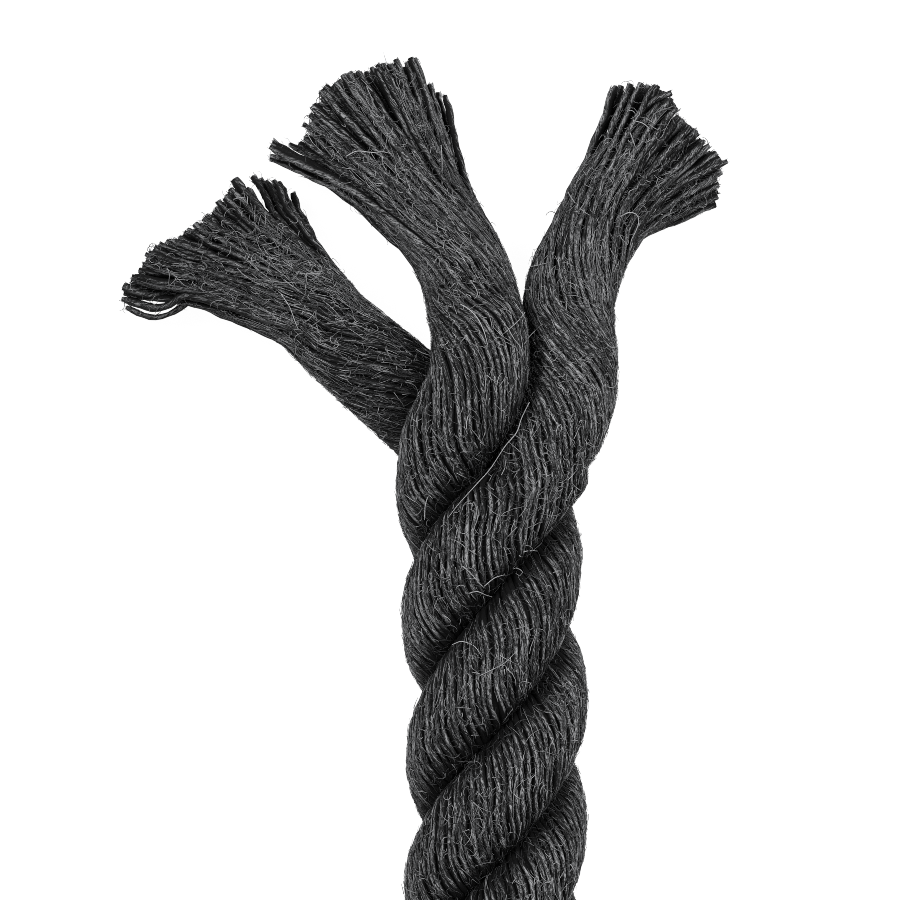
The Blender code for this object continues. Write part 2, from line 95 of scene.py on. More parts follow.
def smooth_through(points: Sequence, spacing: float) -> Array:
    """Lays a smooth curve through points.

    Args:
        points: the points that it passes through.
        spacing: about how far apart its own points are.
    Returns:
        The curve's points.
    """
    points = np.asarray(points, float)
    padded = np.vstack([2 * points[0] - points[1], points, 2 * points[-1] - points[-2]])
    found = [points[0]]
    for before, start, end, after in zip(padded, padded[1:], padded[2:], padded[3:]):
        steps = max(1, round(float(np.linalg.norm(end - start)) / spacing))
        for step in range(1, steps + 1):
            t = step / steps
            found.append(0.5 * (2 * start + (end - before) * t
                                + (2 * before - 5 * start + 4 * end - after) * t**2
                                + (3 * start - before - 3 * end + after) * t**3))
    return np.array(found)


def lengths_along(points: Array) -> Array:
    """Gives how far along a line each of its points is."""
    return np.concatenate([[0.0], np.cumsum(np.linalg.norm(np.diff(points, axis=0), axis=1))])


def at_shares(points: Array, shares: Array) -> Array:
    """Gives the points at some shares, from 0 to 1, of a line's length."""
    along = lengths_along(points)
    return np.stack([np.interp(np.asarray(shares) * along[-1], along, column)
                     for column in points.T], axis=1)


def evenly(points: Array, count: int) -> Array:
    """Divides a line into a number of equal steps and gives their ends."""
    return at_shares(points, np.linspace(0, 1, count + 1))


def unit(vectors: Array) -> Array:
    """Scales vectors to length 1."""
    return vectors / np.maximum(np.linalg.norm(vectors, axis=-1, keepdims=True), 1e-12)


def tangents_of(lines: Array) -> Array:
    """Gives each line's direction at each of its points, which are the next-to-last axis."""
    return unit(np.gradient(lines, axis=-2))


def round_about(first: Array, second: Array, angles: Array) -> Array:
    """Gives the direction at an angle from one of two square directions to the other."""
    return first * np.cos(angles)[..., None] + second * np.sin(angles)[..., None]


def carried_along(tangents: Array, first: Array) -> Array:
    """Carries a direction along lines without turning it about them.

    Args:
        tangents: line by point by axis.
        first: the direction at each line's first point.
    Returns:
        A direction square to the line at each point.
    """
    carried = []
    for tangent in tangents.transpose(1, 0, 2):
        first = unit(first - tangent * (first * tangent).sum(axis=-1, keepdims=True))
        carried.append(first)
    return np.stack(carried, axis=1)


def nearest(points: Array, line: Array) -> Array:
    """Gives each point's distance from a line of points."""
    flat = points.reshape(-1, 3)
    square = (flat**2).sum(axis=1)[:, None] - 2 * flat @ line.T + (line**2).sum(axis=1)[None]
    return np.sqrt(np.maximum(square.min(axis=1), 0.0)).reshape(points.shape[:-1])


def crosses(start: Array, end: Array, line: Array) -> bool:
    """Tells whether a short step crosses a flat line."""
    along, ways = end - start, np.diff(line, axis=0)
    apart = line[:-1] - start
    turn = along[0] * ways[:, 1] - along[1] * ways[:, 0]
    turn = np.where(np.abs(turn) < 1e-15, 1e-15, turn)
    here = (apart[:, 0] * ways[:, 1] - apart[:, 1] * ways[:, 0]) / turn
    there = (apart[:, 0] * along[1] - apart[:, 1] * along[0]) / turn
    return bool(((here >= 0) & (here <= 1) & (there >= 0) & (there <= 1)).any())


def lift_to(points: Array, height: float) -> None:
    """Lifts points that are lower than a height up to it."""
    points[..., 2] = np.maximum(points[..., 2], height)


def eased(share: Array) -> Array:
    """Eases a share from 0 to 1."""
    share = np.clip(share, 0.0, 1.0)
    return share * share * (3 - 2 * share)


def wavering(rng: Random, along: Array, count: int, wave: float) -> Array:
    """Makes slow random waves, one for each of several lines.

    Args:
        rng: the seeded source.
        along: how far along the line each point is.
        count: how many lines.
        wave: the longest wave's length.
    Returns:
        Line by point, mostly within 1 and -1.
    """
    total = np.zeros((count, len(along)))
    for order in (1.0, 1.9, 3.3):
        phase = rng.uniform(0, TURN, (count, 1))
        weight = rng.uniform(0.3, 1.0, (count, 1)) / order
        total += weight * np.sin(TURN * order * along[None] / wave + phase)
    return total / 1.2


def mottled(points: Array, wave: float) -> Array:
    """Makes soft patches in space, the same at each run.

    Args:
        points: point by axis.
        wave: the patches' mean distance.
    Returns:
        One value for each point, from 0 to 1.
    """
    rng = np.random.default_rng(4242)
    total = np.zeros(len(points))
    for _ in range(7):
        way = unit(rng.normal(0, 1, 3)) * rng.uniform(0.6, 1.6)
        total += np.sin(TURN * points @ way / wave + rng.uniform(0, TURN))
    return eased(0.5 + total / 5.5)


# ---- Meshes


def end_means(rings: Array) -> Array:
    """Gives the means of each row's first and last ring."""
    return np.stack([rings[:, 0].mean(axis=1), rings[:, -1].mean(axis=1)], axis=1)


def crown_light(light: Array) -> Array:
    """Gives how far a share of painted light, 0 deep in a groove where the yarns are painted in
    shade, brightens a yarn's crown.
    """
    return 0.5 + 0.5 * light


class MeshParts:
    """Tubes and lofts gathered into one mesh, with what their material reads at each point.

    The attribute `grain` is a place on the yarn's skin in millimetres: how far along it, then
    across it. The attribute `tone` tells one yarn from the next, and `crown` is 1 on the side
    that faces out of the rope and 0 or less in the gaps between yarns, where the material paints
    shade.
    """

    loosened_crown = (0.38, 0.29)  # share of its painted shade's contrast that it loses where yarns lie apart, and what it gains
    tone_shift = 977.0  # mm from one tone to the next in the pattern of the fibres

    def __init__(self) -> None:
        """Starts with nothing."""
        self.points, self.grains, self.tones, self.crowns = [], [], [], []
        self.quads, self.triangles, self.kinds, self.count = [], [], [], 0

    def add_rings(self, rings: Array, ends: Array, grains: Array, tones: Array, crowns: Array,
                  kind: int = 0) -> None:
        """Skins rows of rings and closes each row at a pole.

        Args:
            rings: row by ring by point by axis, each ring turning left-handed about the way ahead.
            ends: row by (first pole, last pole) by axis.
            grains: as rings.
            tones: row by ring by point.
            crowns: as tones.
            kind: index of the material.
        """
        rows, count, sides = rings.shape[:3]
        base = self.count + np.arange(rows)[:, None, None] * (count * sides + 2)
        here = base + np.arange(count)[None, :, None] * sides + np.arange(sides)[None, None]
        following = np.roll(here, -1, axis=2)
        quads = np.stack([here[:, :-1], here[:, 1:], following[:, 1:], following[:, :-1]], axis=-1)
        first_pole = np.broadcast_to(base + count * sides, (rows, 1, sides))[:, 0]
        triangles = np.concatenate([
            np.stack([first_pole, here[:, 0], following[:, 0]], axis=-1),
            np.stack([first_pole + 1, following[:, -1], here[:, -1]], axis=-1),
        ])
        for kept, values, poles in ((self.points, rings, ends),
                                    (self.grains, grains, end_means(grains)),
                                    (self.tones, tones, end_means(tones)),
                                    (self.crowns, crowns, end_means(crowns))):
            flat = values.reshape(rows, -1, *values.shape[3:])
            kept.append(np.concatenate([flat, poles], axis=1).reshape(-1, *values.shape[3:]))
        self.quads.append(quads.reshape(-1, 4))
        self.triangles.append(triangles.reshape(-1, 3))
        self.kinds.append(kind)
        self.count += len(self.points[-1])

    def add_tubes(self, lines: Array, radii: Array, sides: int, tones: Array,
                  keep: slice = slice(None), spiral: float = 0.35, bluntness: float = 0.5,
                  outward: Array | None = None, light: Array | None = None,
                  loose: Array | None = None) -> None:
        """Adds round tubes along lines that all have as many points.

        Args:
            lines: line by point by axis.
            radii: line by point.
            sides: points round each ring.
            tones: one for each line.
            keep: the stretch of each line that is made.
            spiral: turn of the fibres about the line, in radians a millimetre.
            bluntness: how far a pole stands out past its ring, in radii.
            outward: as lines, the way out of the rope, on whose side a yarn is painted light and on
                the other sides painted shade, or None where all sides are alike.
            light: painted light, line by point, 0 deep in a groove and 1 outside.
            loose: one share for each point, 1 where the yarns lie apart and are seen all round,
                with less painted shade on their flanks.
        """
        tangents = tangents_of(lines)
        guess = np.where(np.abs(tangents[:, 0, 2:3]) < 0.9, [UP], [[1.0, 0.0, 0.0]])
        firsts = carried_along(tangents, unit(guess))
        along = np.zeros(lines.shape[:2])
        along[:, 1:] = np.cumsum(np.linalg.norm(np.diff(lines, axis=1), axis=2), axis=1)
        angles = -np.arange(sides) * TURN / sides
        around = round_about(firsts[:, :, None], np.cross(tangents, firsts)[:, :, None], angles)
        rings = lines[:, :, None] + around * radii[:, :, None, None]
        turned = angles[None, None] + spiral * along[:, :, None] / MM
        thick = radii[:, :, None] / MM
        shifted = (along / MM + self.tone_shift * tones[:, None])[:, :, None]
        grains = np.stack([np.broadcast_to(shifted, turned.shape),
                           thick * np.cos(turned), thick * np.sin(turned)], axis=-1)
        shown, ahead, ends_radii = lines[:, keep], tangents[:, keep], radii[:, keep]
        ends = np.stack([shown[:, 0] - ahead[:, 0] * ends_radii[:, :1] * bluntness,
                         shown[:, -1] + ahead[:, -1] * ends_radii[:, -1:] * bluntness], axis=1)
        # Painted shade: the crown, and with it the yarn's colour, falls on the flanks, deep in the
        # grooves and under other yarns.
        crowns = np.ones(turned.shape)
        if outward is not None:
            crowns = (around * outward[:, :, None]).sum(axis=-1)
        if light is not None:
            crowns = crowns * crown_light(light)[:, :, None]
        if loose is not None:
            lost, gained = self.loosened_crown
            loose = loose[None, :, None]
            crowns = crowns * (1 - lost * loose) + gained * loose
        self.add_rings(rings[:, keep], ends, grains[:, keep],
                       np.broadcast_to(tones[:, None, None], turned.shape)[:, keep],
                       crowns[:, keep])

    def to_mesh(self, name: str) -> bpy.types.Mesh:
        """Makes the mesh in the frame of the solids, smooth, with its three attributes."""
        mesh = bpy.data.meshes.new(name)
        points = np.concatenate(self.points) + LAY_END
        quads, triangles = np.concatenate(self.quads), np.concatenate(self.triangles)
        corners = np.concatenate([quads.ravel(), triangles.ravel()])
        starts = np.concatenate([np.arange(len(quads)) * 4,
                                 len(quads) * 4 + np.arange(len(triangles)) * 3])
        kinds = np.repeat(2 * self.kinds, [len(faces) for faces in self.quads + self.triangles])
        mesh.vertices.add(len(points))
        mesh.vertices.foreach_set("co", points.astype(np.float32).ravel())
        mesh.loops.add(len(corners))
        mesh.loops.foreach_set("vertex_index", corners.astype(np.int32))
        mesh.polygons.add(len(starts))
        mesh.polygons.foreach_set("loop_start", starts.astype(np.int32))
        mesh.update(calc_edges=True)
        mesh.polygons.foreach_set("material_index", kinds.astype(np.int32))
        mesh.shade_smooth()
        for label, shape, member, kept in (("grain", "FLOAT_VECTOR", "vector", self.grains),
                                           ("tone", "FLOAT", "value", self.tones),
                                           ("crown", "FLOAT", "value", self.crowns)):
            values = mesh.attributes.new(label, shape, "POINT")
            values.data.foreach_set(member, np.concatenate(kept).astype(np.float32).ravel())
        mesh.validate()
        return mesh

    def place(self, name: str, slot: Slot, materials: Sequence[Material],
              nodes: Sequence[str] = ()) -> Piece:
        """Makes the mesh and puts it in the scene, with the arguments of place_piece."""
        return place_piece(name, self.to_mesh(name), materials, nodes)


def place_piece(name: str, mesh: bpy.types.Mesh, materials: Sequence[Material],
                nodes: Sequence[str] = ()) -> Piece:
    """Puts a finished mesh in the scene as a piece of the object.

    Args:
        name: the piece's name.
        mesh: its mesh, already in place.
        materials: its materials, in the order of its material indices.
        nodes: the solids that it stands for.
    Returns:
        The piece.
    """
    piece = link(bpy.data.objects.new(name, mesh))
    for material in materials:
        mesh.materials.append(material)
    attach(piece, BODY)
    if nodes:
        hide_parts(*nodes)
    LOG.info("%s: %d faces", name, len(mesh.polygons))
    return piece


def link(item: bpy.types.Object) -> bpy.types.Object:
    """Puts an object in the scene's collection."""
    bpy.context.scene.collection.objects.link(item)
    return item


def mesh_from(tool: bmesh.types.BMesh, name: str) -> bpy.types.Mesh:
    """Makes a mesh from a bmesh, which is freed."""
    mesh = bpy.data.meshes.new(name)
    tool.to_mesh(mesh)
    tool.free()
    return mesh


# ---- Finishes


def linear(hex_colour: str) -> tuple[float, float, float, float]:
    """Turns an sRGB colour such as #1a1a1c into linear red, green, blue and alpha."""
    channels = [int(hex_colour[start:start + 2], 16) / 255 for start in (1, 3, 5)]
    return (*[c / 12.92 if c <= 0.04045 else ((c + 0.055) / 1.055) ** 2.4 for c in channels], 1.0)


def feed(node: bpy.types.Node, inputs: dict) -> None:
    """Sets a node's inputs: for each, by name or number, its value or what feeds it."""
    for key, value in inputs.items():
        if isinstance(value, Socket):
            node.id_data.links.new(value, node.inputs[key])
        else:
            node.inputs[key].default_value = value


def add_node(tree: Tree, kind: str, inputs: dict | None = None,
             output: str | int = 0, **settings) -> Socket:
    """Adds a shader node.

    Args:
        tree: where it goes.
        kind: its type, such as Mix.
        inputs: for an input, by name or number, its value or the output that feeds it.
        output: name or number of the output that is used.
        settings: the node's properties.
    Returns:
        That output.
    """
    node = tree.nodes.new(f"ShaderNode{kind}")
    for key, value in settings.items():
        setattr(node, key, value)
    feed(node, inputs or {})
    return node.outputs[output]


def calculate(tree: Tree, operation: str, *inputs: Socket | float) -> Socket:
    """Adds a Math node."""
    return add_node(tree, "Math", dict(enumerate(inputs)), operation=operation)


def add_noise(tree: Tree, place: Socket, scale: float, detail: float,
              roughness: float = 0.5, output: str = "Fac") -> Socket:
    """Adds a Noise Texture node that reads a place."""
    return add_node(tree, "TexNoise", {"Vector": place, "Scale": scale, "Detail": detail,
                                       "Roughness": roughness}, output)


def add_bump(tree: Tree, height: Socket, strength: float, depth: float) -> Socket:
    """Adds a Bump node, with its depth in millimetres."""
    return add_node(tree, "Bump", {"Height": height, "Strength": strength,
                                   "Distance": depth * MM})


def add_ramp(tree: Tree, factor: Socket,
             stops: Sequence[tuple[float, str]]) -> Socket:
    """Adds a colour ramp, with the place and the sRGB colour of each of its stops."""
    colour = add_node(tree, "ValToRGB", {0: factor})
    elements = colour.node.color_ramp.elements
    while len(elements) > 1:
        elements.remove(elements[-1])
    elements[0].position, elements[0].color = stops[0][0], linear(stops[0][1])
    for place, stop in stops[1:]:
        elements.new(place).color = linear(stop)
    return colour


def read(tree: Tree, attribute: str, output: str = "Fac") -> Socket:
    """Adds a node that reads one of the mesh's attributes."""
    return add_node(tree, "Attribute", output=output, attribute_name=attribute)


def new_material(name: str) -> tuple[Material, Tree, bpy.types.Node]:
    """Makes a material with a Principled shader, and gives it, its tree and its shader."""
    material = bpy.data.materials.new(name)
    material.use_nodes = True
    return material, material.node_tree, material.node_tree.nodes["Principled BSDF"]


@dataclass(frozen=True)
class DyedJute:
    """Spun jute yarn, dyed black: coarse stiff bast fibres that twist round the yarn.

    The dye takes unevenly, so single fibres catch the light as thin grey streaks on a nearly
    black yarn. Bast fibre is matt, with a faint waxy sheen. IOR 1.52, roughness about 0.8.
    """

    name: str = "dyed_jute_yarn"
    stops: tuple = ((0.38, "#070708"), (0.455, "#262627"), (0.525, "#5b5c5d"), (0.617, "#c2c3c5"))
    gap: str = "#030304"  # painted shade for the gaps between yarns, where little light comes
    painted_shade_edges: tuple = (0.60, 0.95)  # crown where the gap ends and where the yarn's colour is full
    fibre_width: float = 0.21  # mm: coarser than the real 0.05, to show in the render
    fibre_length: float = 3.9  # mm
    wander: float = 0.45  # mm, sideways, so that the fibres don't run true
    patch: float = 12.0  # mm, of the dye's unevenness
    patchiness: float = 0.12
    yarn_difference: float = 0.10  # from the darkest yarn to the palest
    bump: float = 0.16  # mm
    roughness: float = 0.80
    ior: float = 1.52

    def make(self) -> Material:
        """Makes the material, which reads the attributes grain, tone and crown."""
        material, tree, shader = new_material(self.name)
        grain = read(tree, "grain", "Vector")
        drift = add_noise(tree, grain, 0.7, 1.0, output="Color")
        aside = self.wander * 2
        wandering = add_node(tree, "VectorMath", {0: drift, 1: (0.0, aside, aside), 2: grain},
                             operation="MULTIPLY_ADD")
        scale = (1 / self.fibre_length, 1 / self.fibre_width, 1 / self.fibre_width)
        scaled = add_node(tree, "Mapping", {"Vector": wandering, "Scale": scale},
                          vector_type="POINT")
        fibres = add_noise(tree, scaled, 1.0, 2.0, 0.75)
        patches = add_noise(tree, add_node(tree, "TexCoord", output="Object"),
                            1 / (self.patch * MM), 1.0)
        dye_and_painted_light = calculate(tree, "MULTIPLY_ADD", patches, self.patchiness, fibres)
        toned = calculate(tree, "MULTIPLY_ADD", read(tree, "tone"), self.yarn_difference, dye_and_painted_light)
        centred = calculate(tree, "SUBTRACT", toned, (self.patchiness + self.yarn_difference) / 2)
        # Painted shade: where the crown is low, on the yarns' flanks and deep in the grooves, the
        # colour gives way to the near-black gap colour.
        raised = add_node(tree, "MapRange", {
            "Value": read(tree, "crown"), "From Min": self.painted_shade_edges[0],
            "From Max": self.painted_shade_edges[1]}, "Result", interpolation_type="SMOOTHSTEP")
        coloured = add_node(tree, "Mix", {
            "Factor": raised, 6: linear(self.gap), 7: add_ramp(tree, centred, self.stops),
        }, 2, data_type="RGBA")
        feed(shader, {"Base Color": coloured, "Normal": add_bump(tree, fibres, 1.0, self.bump),
                      "Roughness": self.roughness, "IOR": self.ior, "Specular IOR Level": 0.3})
        return material


@dataclass(frozen=True)
class LooseFibre:
    """Single jute fibres that stand off the yarn: stiff, slightly glossy hairs, paler than the
    yarn because light passes through their edges. IOR 1.52, roughness about 0.55."""

    name: str = "loose_jute_fibre"
    stops: tuple = ((0.0, "#0e0e0f"), (0.55, "#67686a"), (1.0, "#e2e3e5"))
    roughness: float = 0.55
    ior: float = 1.52

    def make(self) -> Material:
        """Makes the material, which reads the attribute tone."""
        material, tree, shader = new_material(self.name)
        feed(shader, {"Base Color": add_ramp(tree, read(tree, "tone"), self.stops),
                      "Roughness": self.roughness, "IOR": self.ior})
        return material


@dataclass(frozen=True)
class PolyesterWebbing:
    """Woven polyester webbing, black: flat ribs across and a fine herringbone, with a dull sheen
    on the filaments. IOR 1.57, roughness about 0.6."""

    name: str = "polyester_webbing"
    stops: tuple = ((0.1, "#101012"), (0.9, "#34353a"))
    rib: float = 1.9  # mm, along the band
    yarn: float = 1.1  # mm, across the band
    depth: float = 0.45  # of the weave, as a share of the noise on it
    bump: float = 0.22  # mm
    roughness: float = 0.62
    ior: float = 1.57

    def make(self) -> Material:
        """Makes the material, which reads the attribute grain as along, across and up."""
        material, tree, shader = new_material(self.name)
        grain = read(tree, "grain", "Vector")
        split = add_node(tree, "SeparateXYZ", {0: grain}).node.outputs
        waves = [calculate(tree, "SINE", calculate(tree, "MULTIPLY", split[axis], TURN / pitch))
                 for axis, pitch in (("X", self.rib), ("Y", self.yarn))]
        height = calculate(tree, "MULTIPLY_ADD", calculate(tree, "MULTIPLY", *waves), self.depth,
                           add_noise(tree, grain, 3.5, 2.0))
        # Painted shade: the colour follows the weave's height, darker where it lies lower.
        feed(shader, {"Base Color": add_ramp(tree, height, self.stops),
                      "Normal": add_bump(tree, height, 1.0, self.bump),
                      "Roughness": self.roughness, "IOR": self.ior})
        return material


@dataclass(frozen=True)
class SewingThread:
    """Bonded polyester thread, charcoal, two plies. IOR 1.57, roughness about 0.5."""

    name: str = "bonded_thread"
    stops: tuple = ((0.35, "#222327"), (0.65, "#4c4d52"))
    ply: float = 0.5  # mm
    bump: float = 0.08  # mm
    roughness: float = 0.5
    ior: float = 1.57

    def make(self) -> Material:
        """Makes the material, which reads the attribute grain."""
        material, tree, shader = new_material(self.name)
        noise = add_noise(tree, read(tree, "grain", "Vector"), 1 / self.ply, 1.0)
        feed(shader, {"Base Color": add_ramp(tree, noise, self.stops),
                      "Normal": add_bump(tree, noise, 0.8, self.bump),
                      "Roughness": self.roughness, "IOR": self.ior})
        return material


@dataclass(frozen=True)
class HeatShrink:
    """Cross-linked polyolefin tubing shrunk by heat: satin black, with a faint orange-peel skin
    and duller scuffs where it has been handled. IOR 1.50, roughness about 0.4."""

    name: str = "heat_shrink_polyolefin"
    stops: tuple = ((0.42, "#111113"), (0.62, "#1f1f22"))
    peel: float = 1.2  # mm
    scuff: float = 9.0  # mm
    bump: float = 0.05  # mm
    roughness: tuple = (0.34, 0.55)  # where it is clean and where it is scuffed
    ior: float = 1.50

    def make(self) -> Material:
        """Makes the material, which reads Object coordinates."""
        material, tree, shader = new_material(self.name)
        place = add_node(tree, "TexCoord", output="Object")
        peel = add_noise(tree, place, 1 / (self.peel * MM), 1.0)
        scuffs = add_noise(tree, place, 1 / (self.scuff * MM), 4.0, 0.65)
        duller = add_node(tree, "MapRange", {
            "Value": scuffs, "From Min": 0.4, "From Max": 0.65, "To Min": self.roughness[0],
            "To Max": self.roughness[1]}, "Result")
        feed(shader, {"Base Color": add_ramp(tree, scuffs, self.stops), "Roughness": duller,
                      "Normal": add_bump(tree, peel, 0.5, self.bump), "IOR": self.ior})
        return material


# ---- The three strands


@dataclass(frozen=True)
class StrandPlan:
    """One strand: where it is in the lay, and its loosened route and frayed end in the
    photograph. The route and the edges are shares of the rope's diameter from the lay's end, and
    the tips are the photograph's pixels."""

    name: str
    turn: float  # degrees from the top, about the rope, where the lay ends
    route: tuple
    left_edge: tuple
    right_edge: tuple
    bulge: float
    swell: tuple  # how much thicker the loosened strand is, at four places along it
    lean: tuple  # y in diameters and pixels sideways, where it begins to open
    # Radians a millimetre, from a direction that the strand carries along: share of the opened
    # length, and twist.
    twist: tuple
    tips: tuple
    slits: tuple = ()  # share across the fan and share of its width at the tips
    strays: tuple = ()
    painted_shade: float = 0.0  # painted shade: how much darker the strand is past the lay
    fray_seed: int = 150


@dataclass(frozen=True)
class Stray:
    """A yarn that strays from its fan, in the photograph's pixels."""

    course: tuple
    thickness: float  # at its tip, as a share of the other yarns'
    height: float  # mm above the floor


STRANDS = (
    StrandPlan(
        "left", 165.0,
        ((-0.090, 0.160, 0.160), (-0.250, 0.270, 0.175), (-0.450, 0.424, 0.205),
         (-0.674, 0.615, 0.235), (-0.905, 0.815, 0.250)),
        ((-1.130, 0.700), (-1.360, 0.820), (-1.710, 0.955), (-2.060, 0.970)),
        ((-0.925, 1.250), (-1.065, 1.480), (-1.110, 1.610)), 0.14, (1.02, 1.13, 1.10, 1.03),
        ((-0.30, 0.0), (0.50, 0.0)), ((0.0, -0.045), (0.3, -0.062), (1.0, -0.056)),
        ((120, 307), (116, 297), (119, 282), (136, 272), (142, 255), (154, 243), (169, 236),
         (192, 224), (207, 212), (221, 195), (232, 176), (240, 184), (246, 170), (262, 175),
         (273, 177), (281, 178), (290, 184), (300, 190)),
        slits=((0.845, 0.040),),
        strays=(
            Stray(((196, 292), (183, 301), (166, 311), (150, 315), (136, 312), (119, 304)),
                  0.95, 3.0),
            Stray(((180, 294), (166, 303), (150, 306), (136, 302), (116, 296)), 0.95, 5.0),
            Stray(((168, 288), (152, 293), (137, 291), (118, 284)), 1.35, 7.0)),
        painted_shade=0.50),
    StrandPlan(
        "middle", -75.0,
        ((-0.222, 0.200, 0.580), (-0.146, 0.400, 0.620), (-0.092, 0.580, 0.590),
         (-0.087, 0.780, 0.480), (-0.118, 0.950, 0.345), (-0.135, 1.060, 0.262)),
        ((-0.480, 1.215), (-0.640, 1.375), (-0.850, 1.540), (-1.045, 1.640), (-1.240, 1.712)),
        ((0.055, 1.250), (-0.010, 1.410), (-0.100, 1.580), (-0.165, 1.790), (-0.215, 2.100)),
        0.26, (1.03, 1.07, 1.07, 1.03),
        ((-0.30, 0.0), (0.0, -1.5), (0.50, 0.0)),
        ((0.0, -0.045), (0.3, -0.060), (0.6, -0.040), (1.0, -0.052)),
        ((267, 175), (267, 167), (270, 150), (274, 134), (304, 140), (306, 120), (313, 106),
         (325, 86), (345, 71), (365, 65), (398, 56), (420, 52), (432, 64), (434, 78), (447, 83),
         (456, 93), (470, 100)),
        slits=((0.90, 0.010),),
        strays=(Stray(((330, 178), (308, 166), (288, 158), (268, 153)), 0.7, 9.0),),
        painted_shade=0.08, fray_seed=151),
    StrandPlan(
        "right", 45.0,
        ((0.240, 0.110, 0.530), (0.352, 0.290, 0.430), (0.412, 0.470, 0.335),
         (0.424, 0.650, 0.275), (0.417, 0.830, 0.252), (0.418, 0.960, 0.250)),
        ((0.190, 1.150), (0.260, 1.320), (0.400, 1.590), (0.548, 1.900), (0.625, 2.130)),
        ((0.705, 1.085), (0.775, 1.210), (0.900, 1.360), (1.070, 1.420), (1.190, 1.470)), 0.20,
        (1.02, 1.07, 1.07, 1.03),
        ((-0.40, 0.0), (-0.14, 6.0), (0.0, 12.0), (0.12, 7.0), (0.29, 2.0), (0.50, 0.0)),
        ((0.0, -0.045), (0.3, -0.066), (1.0, -0.080)),
        ((597, 77), (608, 77), (628, 80), (651, 82), (669, 90), (676, 105), (694, 129),
         (716, 147), (720, 160), (727, 163), (721, 171), (722, 200), (717, 213), (712, 226)),
        strays=(Stray(((684, 182), (700, 174), (714, 167), (728, 161)), 0.7, 14.0),
                Stray(((636, 118), (646, 106), (656, 99), (671, 94)), 0.9, 16.0)),
        fray_seed=161),
)

# Single fibres that lie on the rope, and how thick they are in mm. Their places are pixels of
# the photograph.
DRAPED = (
    (0.10, ((528, 403), (520, 419), (515, 433), (504, 446), (495, 460), (488, 470), (475, 484),
            (458, 503), (448, 516))),
    (0.10, ((553, 434), (555, 427), (558, 425), (559, 428), (557, 434))),
    (0.09, ((466, 430), (466, 423), (468, 416), (469, 418), (469, 425))),
    (0.10, ((425, 519), (426, 503), (430, 494), (433, 498))),
    (0.10, ((509, 567), (515, 565), (521, 569), (518, 573), (514, 570))),
    (0.10, ((468, 589), (476, 587), (485, 591), (491, 593))),
    (0.09, ((462, 562), (469, 568), (476, 576), (483, 584))),
    (0.09, ((483, 582), (493, 574), (503, 571))),
    (0.10, ((521, 549), (528, 548), (536, 549))),
    (0.11, ((620, 217), (628, 213), (636, 214), (639, 221), (636, 231), (632, 239), (630, 250))),
    (0.11, ((569, 190), (575, 201), (583, 211), (591, 217))),
    (0.10, ((630, 133), (633, 141), (636, 150))),
    (0.10, ((633, 121), (642, 123), (650, 129))),
    (0.09, ((282, 295), (290, 307), (295, 320), (299, 330))),
    (0.10, ((346, 156), (357, 151), (373, 153), (382, 152), (391, 154))),
    (0.10, ((441, 143), (442, 159), (442, 177))),
    (0.09, ((478, 668), (490, 662), (503, 655), (514, 644))),
    (0.09, ((452, 640), (462, 636), (474, 640), (481, 650))),
    (0.11, ((460, 307), (469, 313), (477, 322), (483, 335), (487, 350))),
    (0.09, ((523, 346), (529, 337), (535, 331), (542, 324))),
    (0.09, ((524, 314), (518, 322), (511, 329), (502, 337))),
    (0.08, ((515, 306), (519, 312), (524, 320), (526, 330))),
    (0.08, ((530, 266), (538, 265), (548, 263))),
    (0.09, ((416, 349), (422, 353), (430, 356))),
    (0.08, ((543, 353), (548, 359), (553, 368))),
    (0.09, ((470, 283), (475, 290), (477, 297), (474, 302))),
    (0.08, ((506, 330), (512, 341), (519, 350), (522, 362))),
)


def laid_points(turn: float, y: Array) -> Array:
    """Gives a laid strand's centre at each y, from its degrees from the top where the lay ends."""
    angle = math.radians(turn) + TURN * y / LAY_LENGTH
    return np.stack([STRAND_REACH * np.sin(angle), y,
                     AXIS_HEIGHT + STRAND_REACH * np.cos(angle)], axis=-1)


@dataclass
class StrandSizes:
    """Sizes that the three strands share."""

    radius: float = 0.2475 * ROPE_DIAMETER
    clearance: float = 0.3 * MM
    ring_spacing: float = 1.25 * MM
    lead: float = LAY_LENGTH / 24
    angles: int = 60
    surface_yarns: int = 44
    inner_rings: tuple = ((28, 0.76), (20, 0.56), (13, 0.36), (6, 0.17))  # count, share of radius
    yarn_radius: float = 0.68 * MM
    yarn_shift: float = 0.028  # radians about the strand, by which a yarn wavers
    yarn_rise: float = 0.17  # mm, by which it wavers in and out
    twist_laid: float = -0.122  # radians a millimetre, against the lay, from the way outward
    sides: int = 8
    heart_sides: int = 24
    groove: float = 5.2 * MM  # how far from the neighbouring strand its painted shade reaches
    touching: float = 0.4 * MM  # how near that strand's skin the painted shade is wholly dark
    # The laid rope's bend in the photograph: y in diameters and pixels sideways.
    bend: tuple = ((0.0, -5.5), (-0.13, -5.0), (-0.40, -4.0), (-0.68, -3.0), (-0.96, -0.5),
                   (-1.24, 2.5), (-1.80, 2.0), (-2.07, 1.0), (-2.30, 0.0), (-2.60, 0.0))

    def light_at(self, gap: Array) -> Array:
        """Gives the painted light at a distance from a neighbouring strand's line, 0 deep in a
        groove, where the yarns are painted in shade.
        """
        return eased((gap - self.radius - self.touching) / self.groove)


